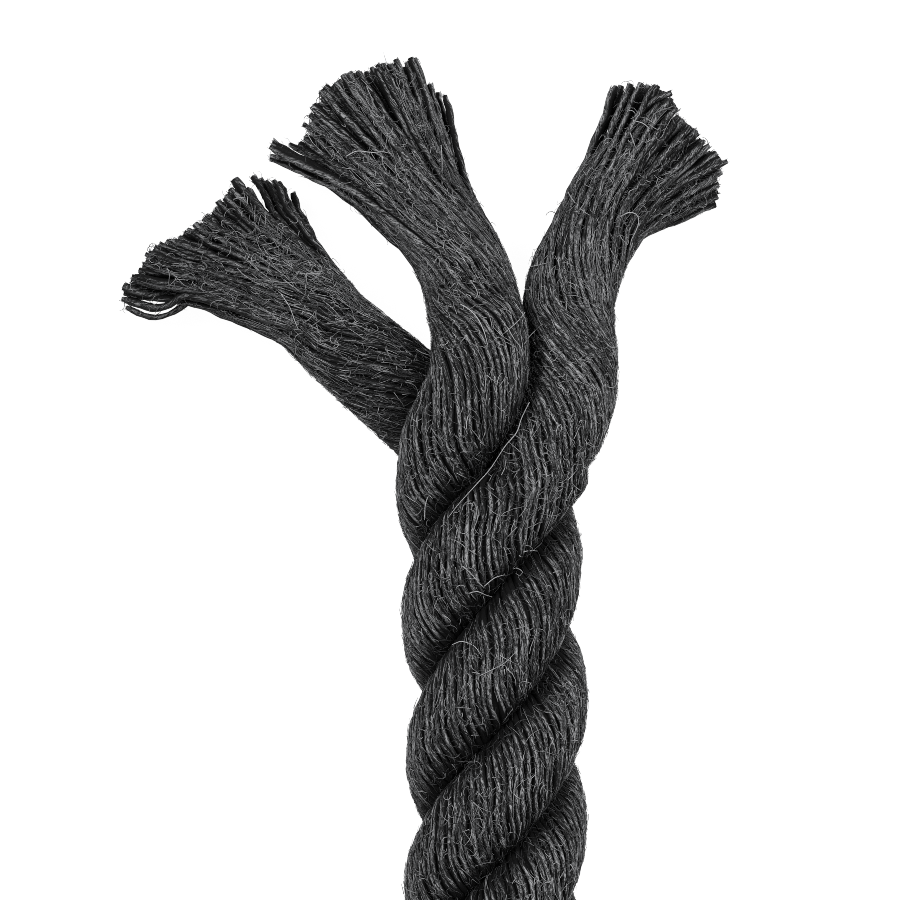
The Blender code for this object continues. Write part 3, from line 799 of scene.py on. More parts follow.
class Strand:
    """One strand of the near end: its line, its skin and its yarns."""

    def __init__(self, plan: StrandPlan, sizes: StrandSizes) -> None:
        """Finds the strand's line and the plane of each of its rings."""
        self.plan, self.sizes = plan, sizes
        self.laid_count = round(LAID_LENGTH / sizes.ring_spacing) + 1
        laid = laid_points(plan.turn, np.linspace(-LAID_LENGTH, 0.0, self.laid_count))
        lead = laid_points(plan.turn, np.array([-sizes.lead]))
        dense = smooth_through(np.vstack([lead, laid[-1:], ROPE_DIAMETER * np.array(plan.route)]),
                               sizes.ring_spacing / 4)
        past_lay = dense[np.argmin(np.linalg.norm(dense - laid[-1], axis=1)):]
        tail_count = round(lengths_along(past_lay)[-1] / sizes.ring_spacing)
        self.centres = np.vstack([laid, evenly(past_lay, tail_count)[1:]])
        self.centres[:, 0] += self._bend(self.centres[:, 1])
        lean = smooth_through([(-2.6, 0.0), (-1.2, 0.0), *plan.lean, (1.0, 0.0), (2.6, 0.0)], 0.05)
        self.centres[:, 0] += PIXEL * np.interp(self.centres[:, 1] / ROPE_DIAMETER, *lean.T)
        swell = np.interp(np.arange(tail_count + 1) / tail_count, (0, 0.35, 0.7, 1), plan.swell)
        before = np.interp(laid[:-1, 1] / ROPE_DIAMETER, (-0.8, 0.0), (1.0, plan.swell[0]))
        self.radii = sizes.radius * np.concatenate([before, swell])
        self.line = at_shares(self.centres, np.linspace(0, 1, 240))
        self.tangents = tangents_of(self.centres)
        self._find_planes(tail_count)

    def _bend(self, y: Array) -> Array:
        """Gives how far the photographed rope lies to one side of a straight line."""
        fine = smooth_through([*self.sizes.bend[::-1], (0.45, 0.0)], 0.05)
        return np.interp(y / ROPE_DIAMETER, *fine.T) * PIXEL

    def _find_planes(self, tail_count: int) -> None:
        """Turns the rings' planes from square to the rope to square to the strand."""
        ahead = self.centres[-1] - self.centres[-1 - round(tail_count / 7)]
        self.heading = unit(ahead * (1.0, 1.0, 0.0))
        past = np.arange(len(self.centres)) - self.laid_count + 1
        turned = np.clip(past / (tail_count * 6 / 7), 0, 1)[:, None]
        normals = (1 - turned) * (0.0, 1.0, 0.0) + turned * self.tangents
        closing = eased((past / tail_count - 0.25) / 0.75)[:, None]
        self.normals = unit((1 - closing) * unit(normals) + closing * self.heading)
        firsts = []
        for ring, (centre, normal) in enumerate(zip(self.centres, self.normals)):
            axis = (float(self._bend(centre[1])), centre[1], AXIS_HEIGHT)
            outward = centre - axis if ring < self.laid_count else firsts[-1]
            firsts.append(unit(outward - normal * outward.dot(normal)))
        self.firsts = np.array(firsts)
        self.seconds = np.cross(self.normals, self.firsts)

    def press_against(self, others: Sequence["Strand"]) -> None:
        """Finds how far the strand's skin reaches each way, pressed flat where strands meet."""
        self.others = others
        angles = np.arange(self.sizes.angles) * TURN / self.sizes.angles
        directions = round_about(self.firsts[:, None], self.seconds[:, None], angles)
        slant = (directions * self.tangents[:, None]).sum(axis=-1)
        reach = self.radii[:, None] / np.sqrt(1 - slant**2)
        low, high = np.zeros_like(reach), np.ones_like(reach)
        for _ in range(11):
            middle = (low + high) / 2
            points = self.centres[:, None] + directions * (reach * middle)[..., None]
            clear = self._gap(points) - nearest(points, self.line) >= self.sizes.clearance
            low, high = np.where(clear, middle, low), np.where(clear, high, middle)
        self.reach = reach * low

    def _gap(self, places: Array) -> Array:
        """Gives each place's distance from the nearer of the two other strands' lines."""
        return np.minimum(*[nearest(places, other.line) for other in self.others])

    def skin_places(self, rings: Array, angles: Array, depth: float) -> Array:
        """Gives places under the strand's skin.

        Args:
            rings: ring numbers.
            angles: yarn by ring, about the strand.
            depth: how deep under the skin.
        Returns:
            Yarn by ring by axis.
        """
        count = self.sizes.angles
        place = (angles % TURN) / TURN * count
        low = np.floor(place).astype(int)
        share = place - low
        table = self.reach[rings]
        index = np.arange(len(rings))[None]
        reach = (table[index, low % count] * (1 - share)
                 + table[index, (low + 1) % count] * share)
        ways = round_about(self.firsts[rings][None], self.seconds[rings][None], angles)
        return self.centres[rings][None] + ways * np.maximum(reach - depth, 0.3 * MM)[..., None]

    def groove_light(self, places: Array) -> Array:
        """Gives the painted light at some places: 0 deep between strands, where the yarns are
        painted in shade, 1 outside.
        """
        return self.sizes.light_at(self._gap(places))

    def twist(self) -> Array:
        """Gives how far the yarns have turned about the strand at each ring."""
        along = lengths_along(self.centres) / MM
        start = along[self.laid_count - 1]
        share = np.clip((along - start) / (along[-1] - start), 0, 1)
        rate = np.interp(share, *zip(*self.plan.twist))
        rate[:self.laid_count] = self.sizes.twist_laid
        turned = np.concatenate([[0.0], np.cumsum(np.diff(along) * rate[1:])])
        return turned - turned[self.laid_count - 1]

    def surface_yarns(self, rng: Random) -> Array:
        """Lays the outer yarns round the strand: yarn by ring by axis."""
        sizes, count = self.sizes, self.sizes.surface_yarns
        along = lengths_along(self.centres)
        start = np.arange(count) * TURN / count + rng.uniform(-0.030, 0.030, count)
        angles = (start[:, None] + self.twist()[None]
                  + sizes.yarn_shift * wavering(rng, along, count, 22 * MM))
        lines = self.skin_places(np.arange(len(self.centres)), angles, sizes.yarn_radius)
        outward = unit(lines - self.centres[None])
        rises = wavering(rng, along, count, 19 * MM)[..., None]
        lines += outward * sizes.yarn_rise * MM * rises
        lift_to(lines, sizes.yarn_radius)
        return lines

    def heart_rings(self, depth: float) -> Array:
        """Gives rings of a body under the outer yarns, which fills the strand."""
        rings, sides = np.arange(0, len(self.centres), 2), self.sizes.heart_sides
        angles = np.broadcast_to((-np.arange(sides) * TURN / sides)[:, None], (sides, len(rings)))
        places = self.skin_places(rings, angles, depth)
        lift_to(places, 0.4 * MM)
        return places.transpose(1, 0, 2)


# ---- Frayed ends


@dataclass
class FrayedEnd:
    """The fan of loose yarns at a strand's end."""

    strand: Strand
    yarns: Array  # the outer yarns, yarn by ring by axis
    seed: int
    slices: int = 10
    thickness: float = 0.62  # height at the tips, as a share of the strand's
    loosened: float = 0.36  # how much thicker a yarn is at its tip
    room: float = 1.35 * MM  # from one yarn's middle to the next one's
    overrun: float = 1.2 * MM  # a yarn's tip stays short of its line's end by its rounding
    clumping: float = 0.55  # share of the way that a bundle's yarns draw together at most
    shortest: float = 1.1 * MM  # how much shorter the lowest yarns are
    raggedness: float = 1.3 * MM  # how much shorter one bundle is than the next
    covering: float = 1.0 * MM  # how near above it a yarn lies that casts painted shade on another
    coverers: float = 2.5  # of which that many leave no light
    drift: float = 0.35  # mm, by which the yarns stray from their order
    waviness: float = 0.3 * MM  # of yarns that have come untwisted
    wave: float = 11 * MM  # length of these waves
    step: float = 0.5 * MM
    lead: float = 0.05 * ROPE_DIAMETER
    run_out: float = 0.22  # diameters, by which a line goes on past its last slice
    # Middles of the bundles: radius in diameters, count and turn of each ring.
    bundle_rings: tuple = ((0.0, 1, 0.0), (0.103, 6, 0.04), (0.2035, 10, 0.0))

    def __post_init__(self) -> None:
        """Draws the fan's lines and sorts its yarns into bundles."""
        self.rng = np.random.default_rng(self.seed)
        plan, sizes = self.strand.plan, self.strand.sizes
        self.end, self.heading = self.strand.centres[-1], self.strand.heading
        self.side_way = np.array([self.heading[1], -self.heading[0], 0.0])
        outer = self.yarns[:, -1] - self.end
        places = [np.stack([outer @ self.side_way, outer[:, 2]], axis=1)]
        for count, share in sizes.inner_rings:
            angle = TURN * (np.arange(count) / count + self.rng.uniform())
            radius = sizes.radius * share
            places.append(np.stack([radius * np.cos(angle), radius * np.sin(angle)], axis=1))
        self.places = np.vstack(places)
        self.groups = self._nearest_bundles(self.places)
        self.thick = np.ones(len(self.places))
        self.group_spare = self.rng.uniform(0, self.raggedness, BUNDLES)
        self.lines = self._draw(plan)

    def _nearest_bundles(self, places: Array) -> Array:
        """Gives for each place the number of the nearest bundle, from 0."""
        middles = []
        for radius, count, turn in self.bundle_rings:
            angle = TURN * (np.arange(count) / count + turn)
            middles += [(ROPE_DIAMETER * radius * math.cos(a), ROPE_DIAMETER * radius * math.sin(a))
                        for a in angle]
        away = np.linalg.norm(places[:, None] - np.array(middles)[None], axis=2)
        return away.argmin(axis=1)

    @staticmethod
    def _pushed_apart(places: Array, room: float, floor: float) -> Array:
        """Moves places apart until they have room, none below the floor."""
        places = places.copy()
        for _ in range(90):
            away = places[:, None] - places[None]
            distance = np.linalg.norm(away, axis=2) + np.eye(len(places))
            short = np.clip(room - distance, 0, None) * (1 - np.eye(len(places)))
            places += (away / distance[..., None] * short[..., None]).sum(axis=1) * 0.24
            places[:, 1] = np.maximum(places[:, 1], floor)
        return places

    def _edge(self, edge: tuple, sign: int) -> Array:
        """Gives each slice's x and y on the left edge, with sign -1, or the right one, with 1."""
        start = self.end + self.heading * self.lead
        corner = (start + self.side_way * sign * self.strand.radii[-1])[:2]
        points = np.vstack([corner, ROPE_DIAMETER * np.array(edge)])
        return evenly(smooth_through(points, self.lead), self.slices)

    def _sections(self, left_edge: Array, right_edge: Array) -> list[Array]:
        """Opens the strand's section slice by slice.

        Args:
            left_edge: slice by (x, y).
            right_edge: likewise.
        Returns:
            For each slice, yarn by (share of the fan's width, height), and for the last one also
            the heights that the yarns would have if they were not drawn into bundles.
        """
        plan, sizes = self.strand.plan, self.strand.sizes
        places = self.places + [0.0, self.end[2]]
        width, drift = 2 * self.strand.radii[-1], self.rng.normal(0, 1, (2, len(places)))
        sections, base = [], places.copy()
        group_pull = self.rng.uniform(0, self.clumping, BUNDLES)[self.groups]
        for number in range(1, self.slices + 1):
            share = number / self.slices
            wider = float(np.linalg.norm(right_edge[number] - left_edge[number]))
            step = np.linalg.norm(right_edge[number] + left_edge[number]
                                  - right_edge[number - 1] - left_edge[number - 1]) / 2
            turn = -plan.twist[-1][1] * step / MM * (1 - share)
            opening = (wider / width, self.thickness ** (1 / self.slices))
            places = self._turned(places, width, turn)
            base = self._turned(base, width, turn) * opening
            radius = sizes.yarn_radius * (1 + self.loosened * share)
            places = self._pushed_apart(places * opening, self.room * (1 + 0.5 * share), radius)
            reach = np.abs(places[:, 0]).max()
            places[:, 0] *= min(1.0, (wider / 2 - radius) / reach)
            width = wider
            shown = base + (places - base) * eased(np.array(share / 0.6))
            shown += (drift * share * self.drift * MM).T
            for group in range(BUNDLES):
                of_group = self.groups == group
                middle = shown[of_group].mean(axis=0)
                shown[of_group] += (middle - shown[of_group]) * (
                    group_pull[of_group] * share**2)[:, None]
            shown[:, 1] = np.maximum(shown[:, 1], radius)
            sections.append(np.stack([shown[:, 0] / width + 0.5, shown[:, 1]], axis=1))
        return [*sections, places[:, 1]]

    def _draw(self, plan: StrandPlan) -> Array:
        """Draws each yarn from the strand's end to its tip."""
        left_edge, right_edge = self._edge(plan.left_edge, -1), self._edge(plan.right_edge, 1)
        *sections, tip_heights = self._sections(left_edge, right_edge)
        start = self.end[:2] + self.places[:, :1] * self.side_way[:2]
        rows = [np.column_stack([start, self.places[:, 1] + self.end[2]])]
        last = sections[-1][:, 0]
        for number, section in enumerate(sections, start=1):
            share = number / self.slices
            across = section[:, 0]
            for place, gap in plan.slits:
                across = across + 0.5 * gap * share**1.5 * np.sign(last - place)
            across = 0.5 + (across[:, None] - 0.5) / (
                1 + share**1.5 * sum(gap for _, gap in plan.slits))
            points = left_edge[number] * (1 - across) + right_edge[number] * across
            ways = right_edge[number] - left_edge[number]
            outward = np.array([-ways[1], ways[0]]) / np.linalg.norm(ways)
            bulge = ROPE_DIAMETER * plan.bulge * share**2 * (1 - (2 * across - 1) ** 2)
            rows.append(np.hstack([points + bulge * outward, section[:, 1:]]))
        lines = np.stack(rows, axis=1)
        heights = tip_heights / tip_heights.max()
        lines = np.array([self._cut(line, height, self.group_spare[group], plan)
                          for line, height, group in zip(lines, heights, self.groups)])
        # Yarns that have come untwisted keep small waves, sideways and up.
        shares = np.linspace(0, 1, FAN_POINTS)
        along = shares * float(lengths_along(lines[0])[-1])
        for axis in (self.side_way, UP):
            waves = wavering(self.rng, along, len(lines), self.wave) * shares
            lines = lines + self.waviness * waves[..., None] * axis
        for stray in plan.strays:
            self._lead_away(lines, stray)
        return lines

    def light(self) -> Array:
        """Gives how open each yarn lies at each point, as painted light: 0 under several others,
        where it is painted in shade, 1 on top.
        """
        flat, heights = self.lines[..., :2], self.lines[..., 2]
        away = np.linalg.norm(flat[:, None] - flat[None], axis=3)
        above = heights[None] - heights[:, None] > 0.5 * self.strand.sizes.yarn_radius
        covered = (above & (away < self.covering)).sum(axis=1)
        return 1 - np.clip(covered / self.coverers, 0, 1)

    def _lead_away(self, lines: Array, stray: Stray) -> None:
        """Leads the yarn that is nearest to a stray's course out of the fan, along that."""
        course = from_photo(stray.course)
        away = np.linalg.norm(lines[..., :2] - course[0], axis=2)
        away += 10 * MM * (self.thick != 1)[:, None]
        chosen, join = np.unravel_index(away.argmin(), away.shape)
        join = max(2, join - 3)
        heights = np.linspace(lines[chosen, join, 2], stray.height * MM, len(course) + 1)[1:]
        whole = np.vstack([lines[chosen, :join + 1], np.column_stack([course, heights])])
        lines[chosen] = evenly(smooth_through(whole, self.step), FAN_POINTS - 1)
        self.thick[chosen] = stray.thickness

    @staticmethod
    def _turned(places: Array, width: float, turn: float) -> Array:
        """Turns places about their middle, as in an ellipse."""
        middle = np.array([0.0, places[:, 1].mean()])
        half = (width / 2, max(places[:, 1].std() * 2, MM))
        flat = (places - middle) / half @ np.array([[math.cos(turn), math.sin(turn)],
                                                    [-math.sin(turn), math.cos(turn)]])
        return flat * half + middle

    def _cut(self, line: Array, height: float, shorter: float, plan: StrandPlan) -> Array:
        """Smooths a yarn's line and ends it where the photograph's tips are.

        Args:
            line: slice by axis.
            height: how high it lies in the fan, from 0 to 1.
            shorter: how far its bundle stays behind the tips.
            plan: the strand's plan.
        Returns:
            The yarn's points.
        """
        ahead = unit(line[-1] - line[-2]) * self.run_out * ROPE_DIAMETER
        ahead[2] = min(ahead[2], 0.0)
        dense = smooth_through(np.vstack([line, line[-1] + ahead]), self.step)
        tips, last = from_photo(plan.tips), len(dense) - 1
        stop = next((number for number in range(len(dense) // 2, last)
                     if crosses(dense[number, :2], dense[number + 1, :2], tips)), last - 11)
        spare = (self.rng.exponential(0.35) * MM + shorter
                 + (1 - height) * self.rng.uniform(0, self.shortest))
        stop = min(max(12, stop + round((self.overrun - spare) / self.step)), last)
        return evenly(dense[:stop + 1], FAN_POINTS - 1)


# ---- Loose fibres


class Hair(Enum):
    """How a loose fibre lies."""

    LYING = "along its yarn"
    FRAYED = "along its yarn, long, where that has come untwisted"
    CROSSING = "over the yarns beside it"
    FLYAWAY = "standing off"
    HOOKED = "bent back on itself"


# Of fibres that lie down: the middle length in mm, and how far they head and curl sideways, in
# degrees and radians.
LYING_DOWN = {Hair.LYING: (3.4, 9, 0.22), Hair.CROSSING: (2.2, 42, 0.9),
              Hair.FRAYED: (6.0, 7, 0.25)}
STANDING = (Hair.FLYAWAY, Hair.HOOKED)


@dataclass
class FibreBed:
    """Yarns that loose fibres grow from, in order round their strand."""

    lines: Array  # yarn by point by axis
    outward: Array  # as lines
    radii: Array  # yarn by point
    light: Array  # painted light, yarn by point, 0 deep in a groove
    tones: Array | None = None  # one for each yarn
    dye_and_painted_light: Array | None = None  # painted light: as light, and less where the strand is painted darker
    pitch: float = 1.6 * MM
    spread: float = 55.0  # degrees about the yarn, from straight outward
    clump: float = 14.0 * MM  # from one clump of fibres to the next
    thinnest: float = 0.5  # share of the fibres that grows between the clumps
    tries: int = 8  # places that are drawn for each fibre, of which the fitting ones are used
    strides: tuple = (0.3, 1.6)  # least and most that a fibre may be drawn out
    gap: float = 2.5 * MM  # between yarns, over which no fibre lies

    def __post_init__(self) -> None:
        """Measures the yarns."""
        self.tangents = tangents_of(self.lines)
        self.step = float(np.median(np.linalg.norm(np.diff(self.lines, axis=1), axis=2)))
        self.apart = np.linalg.norm(self.lines - np.roll(self.lines, -1, axis=0), axis=2)

    @staticmethod
    def _at(table: Array, yarn: Array, place: Array) -> Array:
        """Reads a table, which is yarn by point, between its yarns, which go round, and points."""
        count = table.shape[0]
        place = np.clip(place, 0, table.shape[1] - 1.001)
        low, left = place.astype(int), np.floor(yarn).astype(int)
        share, across = place - low, yarn - left
        if table.ndim == 3:
            share, across = share[..., None], across[..., None]
        left, right = left % count, (left + 1) % count
        return ((table[left, low] * (1 - share) + table[left, low + 1] * share) * (1 - across)
                + (table[right, low] * (1 - share) + table[right, low + 1] * share) * across)

    def _frame(self, yarn: Array, place: Array) -> tuple[Array, Array, Array]:
        """Gives the middle, the way ahead and the way out."""
        ahead = unit(self._at(self.tangents, yarn, place))
        out = self._at(self.outward, yarn, place)
        out = unit(out - ahead * (out * ahead).sum(-1, keepdims=True))
        return self._at(self.lines, yarn, place), ahead, out

    def grow(self, rng: Random, count: int, kind: Hair, points: int,
             stretch: tuple[int, int] | None = None, lowest: float = -0.3,
             lit: tuple[float, float] = (0.0, 1.0)) -> tuple[Array, Array]:
        """Grows fibres of one kind.

        Args:
            rng: the seeded source.
            count: how many.
            kind: how they lie.
            points: of each fibre.
            stretch: first and last point of the yarns that they grow from, or None for all.
            lowest: how far down the yarn's way out may point where one grows, from -1 to 1.
            lit: the least and the most light where one grows.
        Returns:
            Fibre by point by axis, and each fibre's light.
        """
        first, last = stretch or (0, self.lines.shape[1] - 1)
        drawn = self.tries * count
        yarn = rng.integers(0, self.lines.shape[0], drawn)[:, None].astype(float)
        start = rng.uniform(first, last, drawn)[:, None]
        light = self._at(self.light, yarn, start)[:, 0]
        thick = mottled(self._at(self.lines, yarn, start)[:, 0], self.clump)
        thick = self.thinnest + (1 - self.thinnest) * thick
        fit = np.flatnonzero((self._at(self.outward, yarn, start)[:, 0, 2] >= lowest)
                             & (light >= lit[0]) & (light <= lit[1])
                             & (rng.uniform(0, 1, drawn) < thick))
        fit = fit[np.arange(count) % len(fit)]
        yarn, start, light = yarn[fit], start[fit], light[fit]
        way = rng.choice([-1.0, 1.0], (count, 1))
        share = np.linspace(0, 1, points)[None]
        if kind in STANDING:
            return self._stood_up(rng, kind, yarn, start, way, share), light
        grown, whole = self._laid_down(rng, kind, yarn, start, way, share)
        return grown[whole], light[whole]

    def _laid_down(self, rng: Random, kind: Hair, yarn: Array, start: Array, way: Array,
                   share: Array) -> tuple[Array, Array]:
        """Lays fibres over the yarns.

        Args:
            rng: the seeded source.
            kind: how they lie.
            yarn: the yarn that each grows from.
            start: where along that yarn.
            way: 1 along the yarn and -1 back.
            share: of the fibre's length, at each of its points.
        Returns:
            Fibre by point by axis, and which of the fibres are whole.
        """
        median, spread, curling = LYING_DOWN[kind]
        single = (len(yarn), 1)
        lying = kind is not Hair.CROSSING
        length = np.clip(rng.lognormal(math.log(median), 0.5, single), 1.2, 14) * MM
        heading = np.radians(rng.normal(7 if lying else 0, spread, single))
        turned = heading + rng.normal(0, curling, single) * (share - 0.3)
        steps = length / (share.shape[1] - 1)
        ahead_by = np.cumsum(np.cos(turned) * steps, axis=1)
        across_by = np.cumsum(np.sin(turned) * steps, axis=1)
        offset = rng.uniform(-0.45, 0.45, single)
        height = (np.abs(rng.normal(0, 0.10 if lying else 0.14, single))
                  + np.abs(rng.normal(0, 0.18, single)) * share**2
                  + 0.02) * MM - 0.55 * MM * offset**2 * (1 if lying else 0)
        yarns = yarn + offset + way * across_by / self.pitch
        places = start + way * ahead_by / self.step
        middle, _, out = self._frame(yarns, places)
        grown = middle + out * (self._at(self.radii, yarns, places) + height)[..., None]
        # Where yarns lie apart, or end, a fibre would be drawn out between them.
        strides = np.linalg.norm(np.diff(grown, axis=1), axis=2) / steps
        whole = (strides.min(axis=1) > self.strides[0]) & (strides.max(axis=1) < self.strides[1])
        whole &= self._at(self.apart, np.floor(yarns), places).max(axis=1) < self.gap
        return grown, whole

    def _stood_up(self, rng: Random, kind: Hair, yarn: Array, start: Array, way: Array,
                  share: Array) -> Array:
        """Stands fibres on the yarns, with the arguments of _laid_down.

        Returns:
            Fibre by point by axis.
        """
        single = (len(yarn), 1)
        middle, ahead, out = self._frame(yarn, start)
        side = np.cross(ahead, out)
        ahead = ahead * way[..., None]
        up = round_about(out, side, np.radians(rng.normal(0, self.spread, len(yarn)))[:, None])
        across = np.cross(ahead, up)
        root = middle + up * self._at(self.radii, yarn, start)[..., None] * 0.8
        if kind is Hair.FLYAWAY:
            length = np.clip(rng.lognormal(math.log(2.6), 0.5, single), 1.0, 7) * MM
            bend = rng.normal(0, 1.0, single)
            lean = np.clip(np.abs(rng.normal(0.30, 0.25, single)), 0, 1.1)
        else:
            length = rng.uniform(2.0, 4.5, single) * MM
            bend = rng.choice([-1, 1], single) * rng.uniform(1.8, 3.8, single)
            lean = rng.uniform(0.12, 0.5, single)
        turned = rng.normal(0, 0.5, single) + bend * share
        rise = lean * (1 - 0.75 * share)
        steps = (ahead * (np.cos(turned) * np.cos(rise))[..., None]
                 + across * (np.sin(turned) * np.cos(rise))[..., None]
                 + up * np.sin(rise)[..., None]) * (length / (share.shape[1] - 1))[..., None]
        return root + (np.cumsum(steps, axis=1) - steps[:, :1])


# ---- Studio


@dataclass
class Studio:
    """White floor, soft light and the camera, straight above the frayed end."""

    lens: float = 100.0
    sensor: float = 36.0
    photo_width: float = 5 * ROPE_DIAMETER
    middle_height: float = 0.015
    photo_middle: tuple = (450.0, 450.0)
    floor_size: float = 6.0
    floor_drop: float = 0.2 * MM
    floor_glow: float = 1.08
    floor_white: float = 0.9  # share of the glow that the camera sees
    sky: float = 0.26
    lamp_size: float = 0.5
    lamps: tuple = (("left", (-0.70, 0.45, 1.0), 6.9), ("right", (0.75, 0.40, 0.9), 6.4))

    def build(self) -> None:
        """Builds all of it."""
        self.middle = Vector((*(LAY_END[:2] + from_photo([self.photo_middle])[0]), 0.0))
        self._camera()
        self._floor()
        self._world()
        for name, away, power in self.lamps:
            self._lamp(name, self.middle + Vector(away), power)

    def _camera(self) -> None:
        """Places the camera at the photograph's angle and distance."""
        data = bpy.data.cameras.new("camera")
        data.lens, data.sensor_width, data.sensor_fit = self.lens, self.sensor, "HORIZONTAL"
        data.clip_start, data.clip_end = 0.01, 50.0
        camera = link(bpy.data.objects.new("camera", data))
        away = self.photo_width * self.lens / self.sensor
        camera.location = (*self.middle[:2], self.middle_height + away)
        bpy.context.scene.camera = camera

    def _lamp(self, name: str, place: Vector, power: float) -> None:
        """Hangs a square soft lamp that shines on the photograph's middle."""
        data = bpy.data.lights.new(name, "AREA")
        data.shape, data.size, data.energy = "SQUARE", self.lamp_size, power
        lamp = link(bpy.data.objects.new(name, data))
        lamp.location = place
        lamp.rotation_euler = (self.middle - place).to_track_quat("-Z", "Y").to_euler()

    def _floor(self) -> None:
        """Lays a floor that looks white to the camera but keeps a pale shadow."""
        tool = bmesh.new()
        bmesh.ops.create_grid(tool, x_segments=1, y_segments=1, size=self.floor_size / 2)
        bmesh.ops.translate(tool, vec=(0.0, 0.0, -self.floor_drop), verts=tool.verts)
        mesh = mesh_from(tool, "floor")
        material, tree, shader = new_material("studio_floor")
        feed(shader, {"Base Color": linear("#f4f4f4"), "Roughness": 0.9})
        glow = add_node(tree, "Emission", {"Color": linear("#ffffff"),
                                           "Strength": self.floor_glow})
        camera, glossy, through = self._rays(tree, "Camera", "Glossy", "Transmission")
        seen = calculate(tree, "MAXIMUM", calculate(tree, "MAXIMUM", camera, glossy), through)
        share = calculate(tree, "MULTIPLY", seen, self.floor_white)
        mixed = add_node(tree, "MixShader", {0: share, 1: shader.outputs[0], 2: glow})
        feed(tree.nodes["Material Output"], {"Surface": mixed})
        mesh.materials.append(material)
        floor = link(bpy.data.objects.new("floor", mesh))

    def _world(self) -> None:
        """Makes a soft pale surrounding that the camera sees as white."""
        world = bpy.data.worlds.new("studio")
        world.use_nodes = True
        bpy.context.scene.world = world
        tree = world.node_tree
        tree.nodes.clear()
        light, white = [add_node(tree, "Background", {"Color": linear("#ffffff"),
                                                      "Strength": strength})
                        for strength in (self.sky, 1.0)]
        mixed = add_node(tree, "MixShader", {0: self._rays(tree, "Camera")[0], 1: light, 2: white})
        feed(tree.nodes.new("ShaderNodeOutputWorld"), {"Surface": mixed})

    @staticmethod
    def _rays(tree: Tree, *kinds: str) -> list[Socket]:
        """Tells rays of some kinds from all others."""
        path = add_node(tree, "LightPath").node
        return [path.outputs[f"Is {kind} Ray"] for kind in kinds]


# ---- Pieces


def add_hairs(parts: MeshParts, rng: Random, lines: Array, radii: tuple[float, float],
              taper: Array, paleness: Array, evenness: float = 1.0) -> None:
    """Adds loose fibres of random thickness and tone.

    Args:
        parts: where they are added.
        rng: the seeded source.
        lines: fibre by point by axis.
        radii: the thinnest and the thickest fibre's, in mm.
        taper: share of its radius at each point of a fibre.
        paleness: the palest tone that each fibre may have, lower where it is painted in shade.
        evenness: power of the random tones: the higher, the fewer are pale.
    """
    thick = rng.uniform(*radii, (len(lines), 1)) * MM * taper
    tones = rng.uniform(0, 1, len(lines)) ** evenness * paleness
    parts.add_tubes(lines, thick, 3, tones, bluntness=0.0)


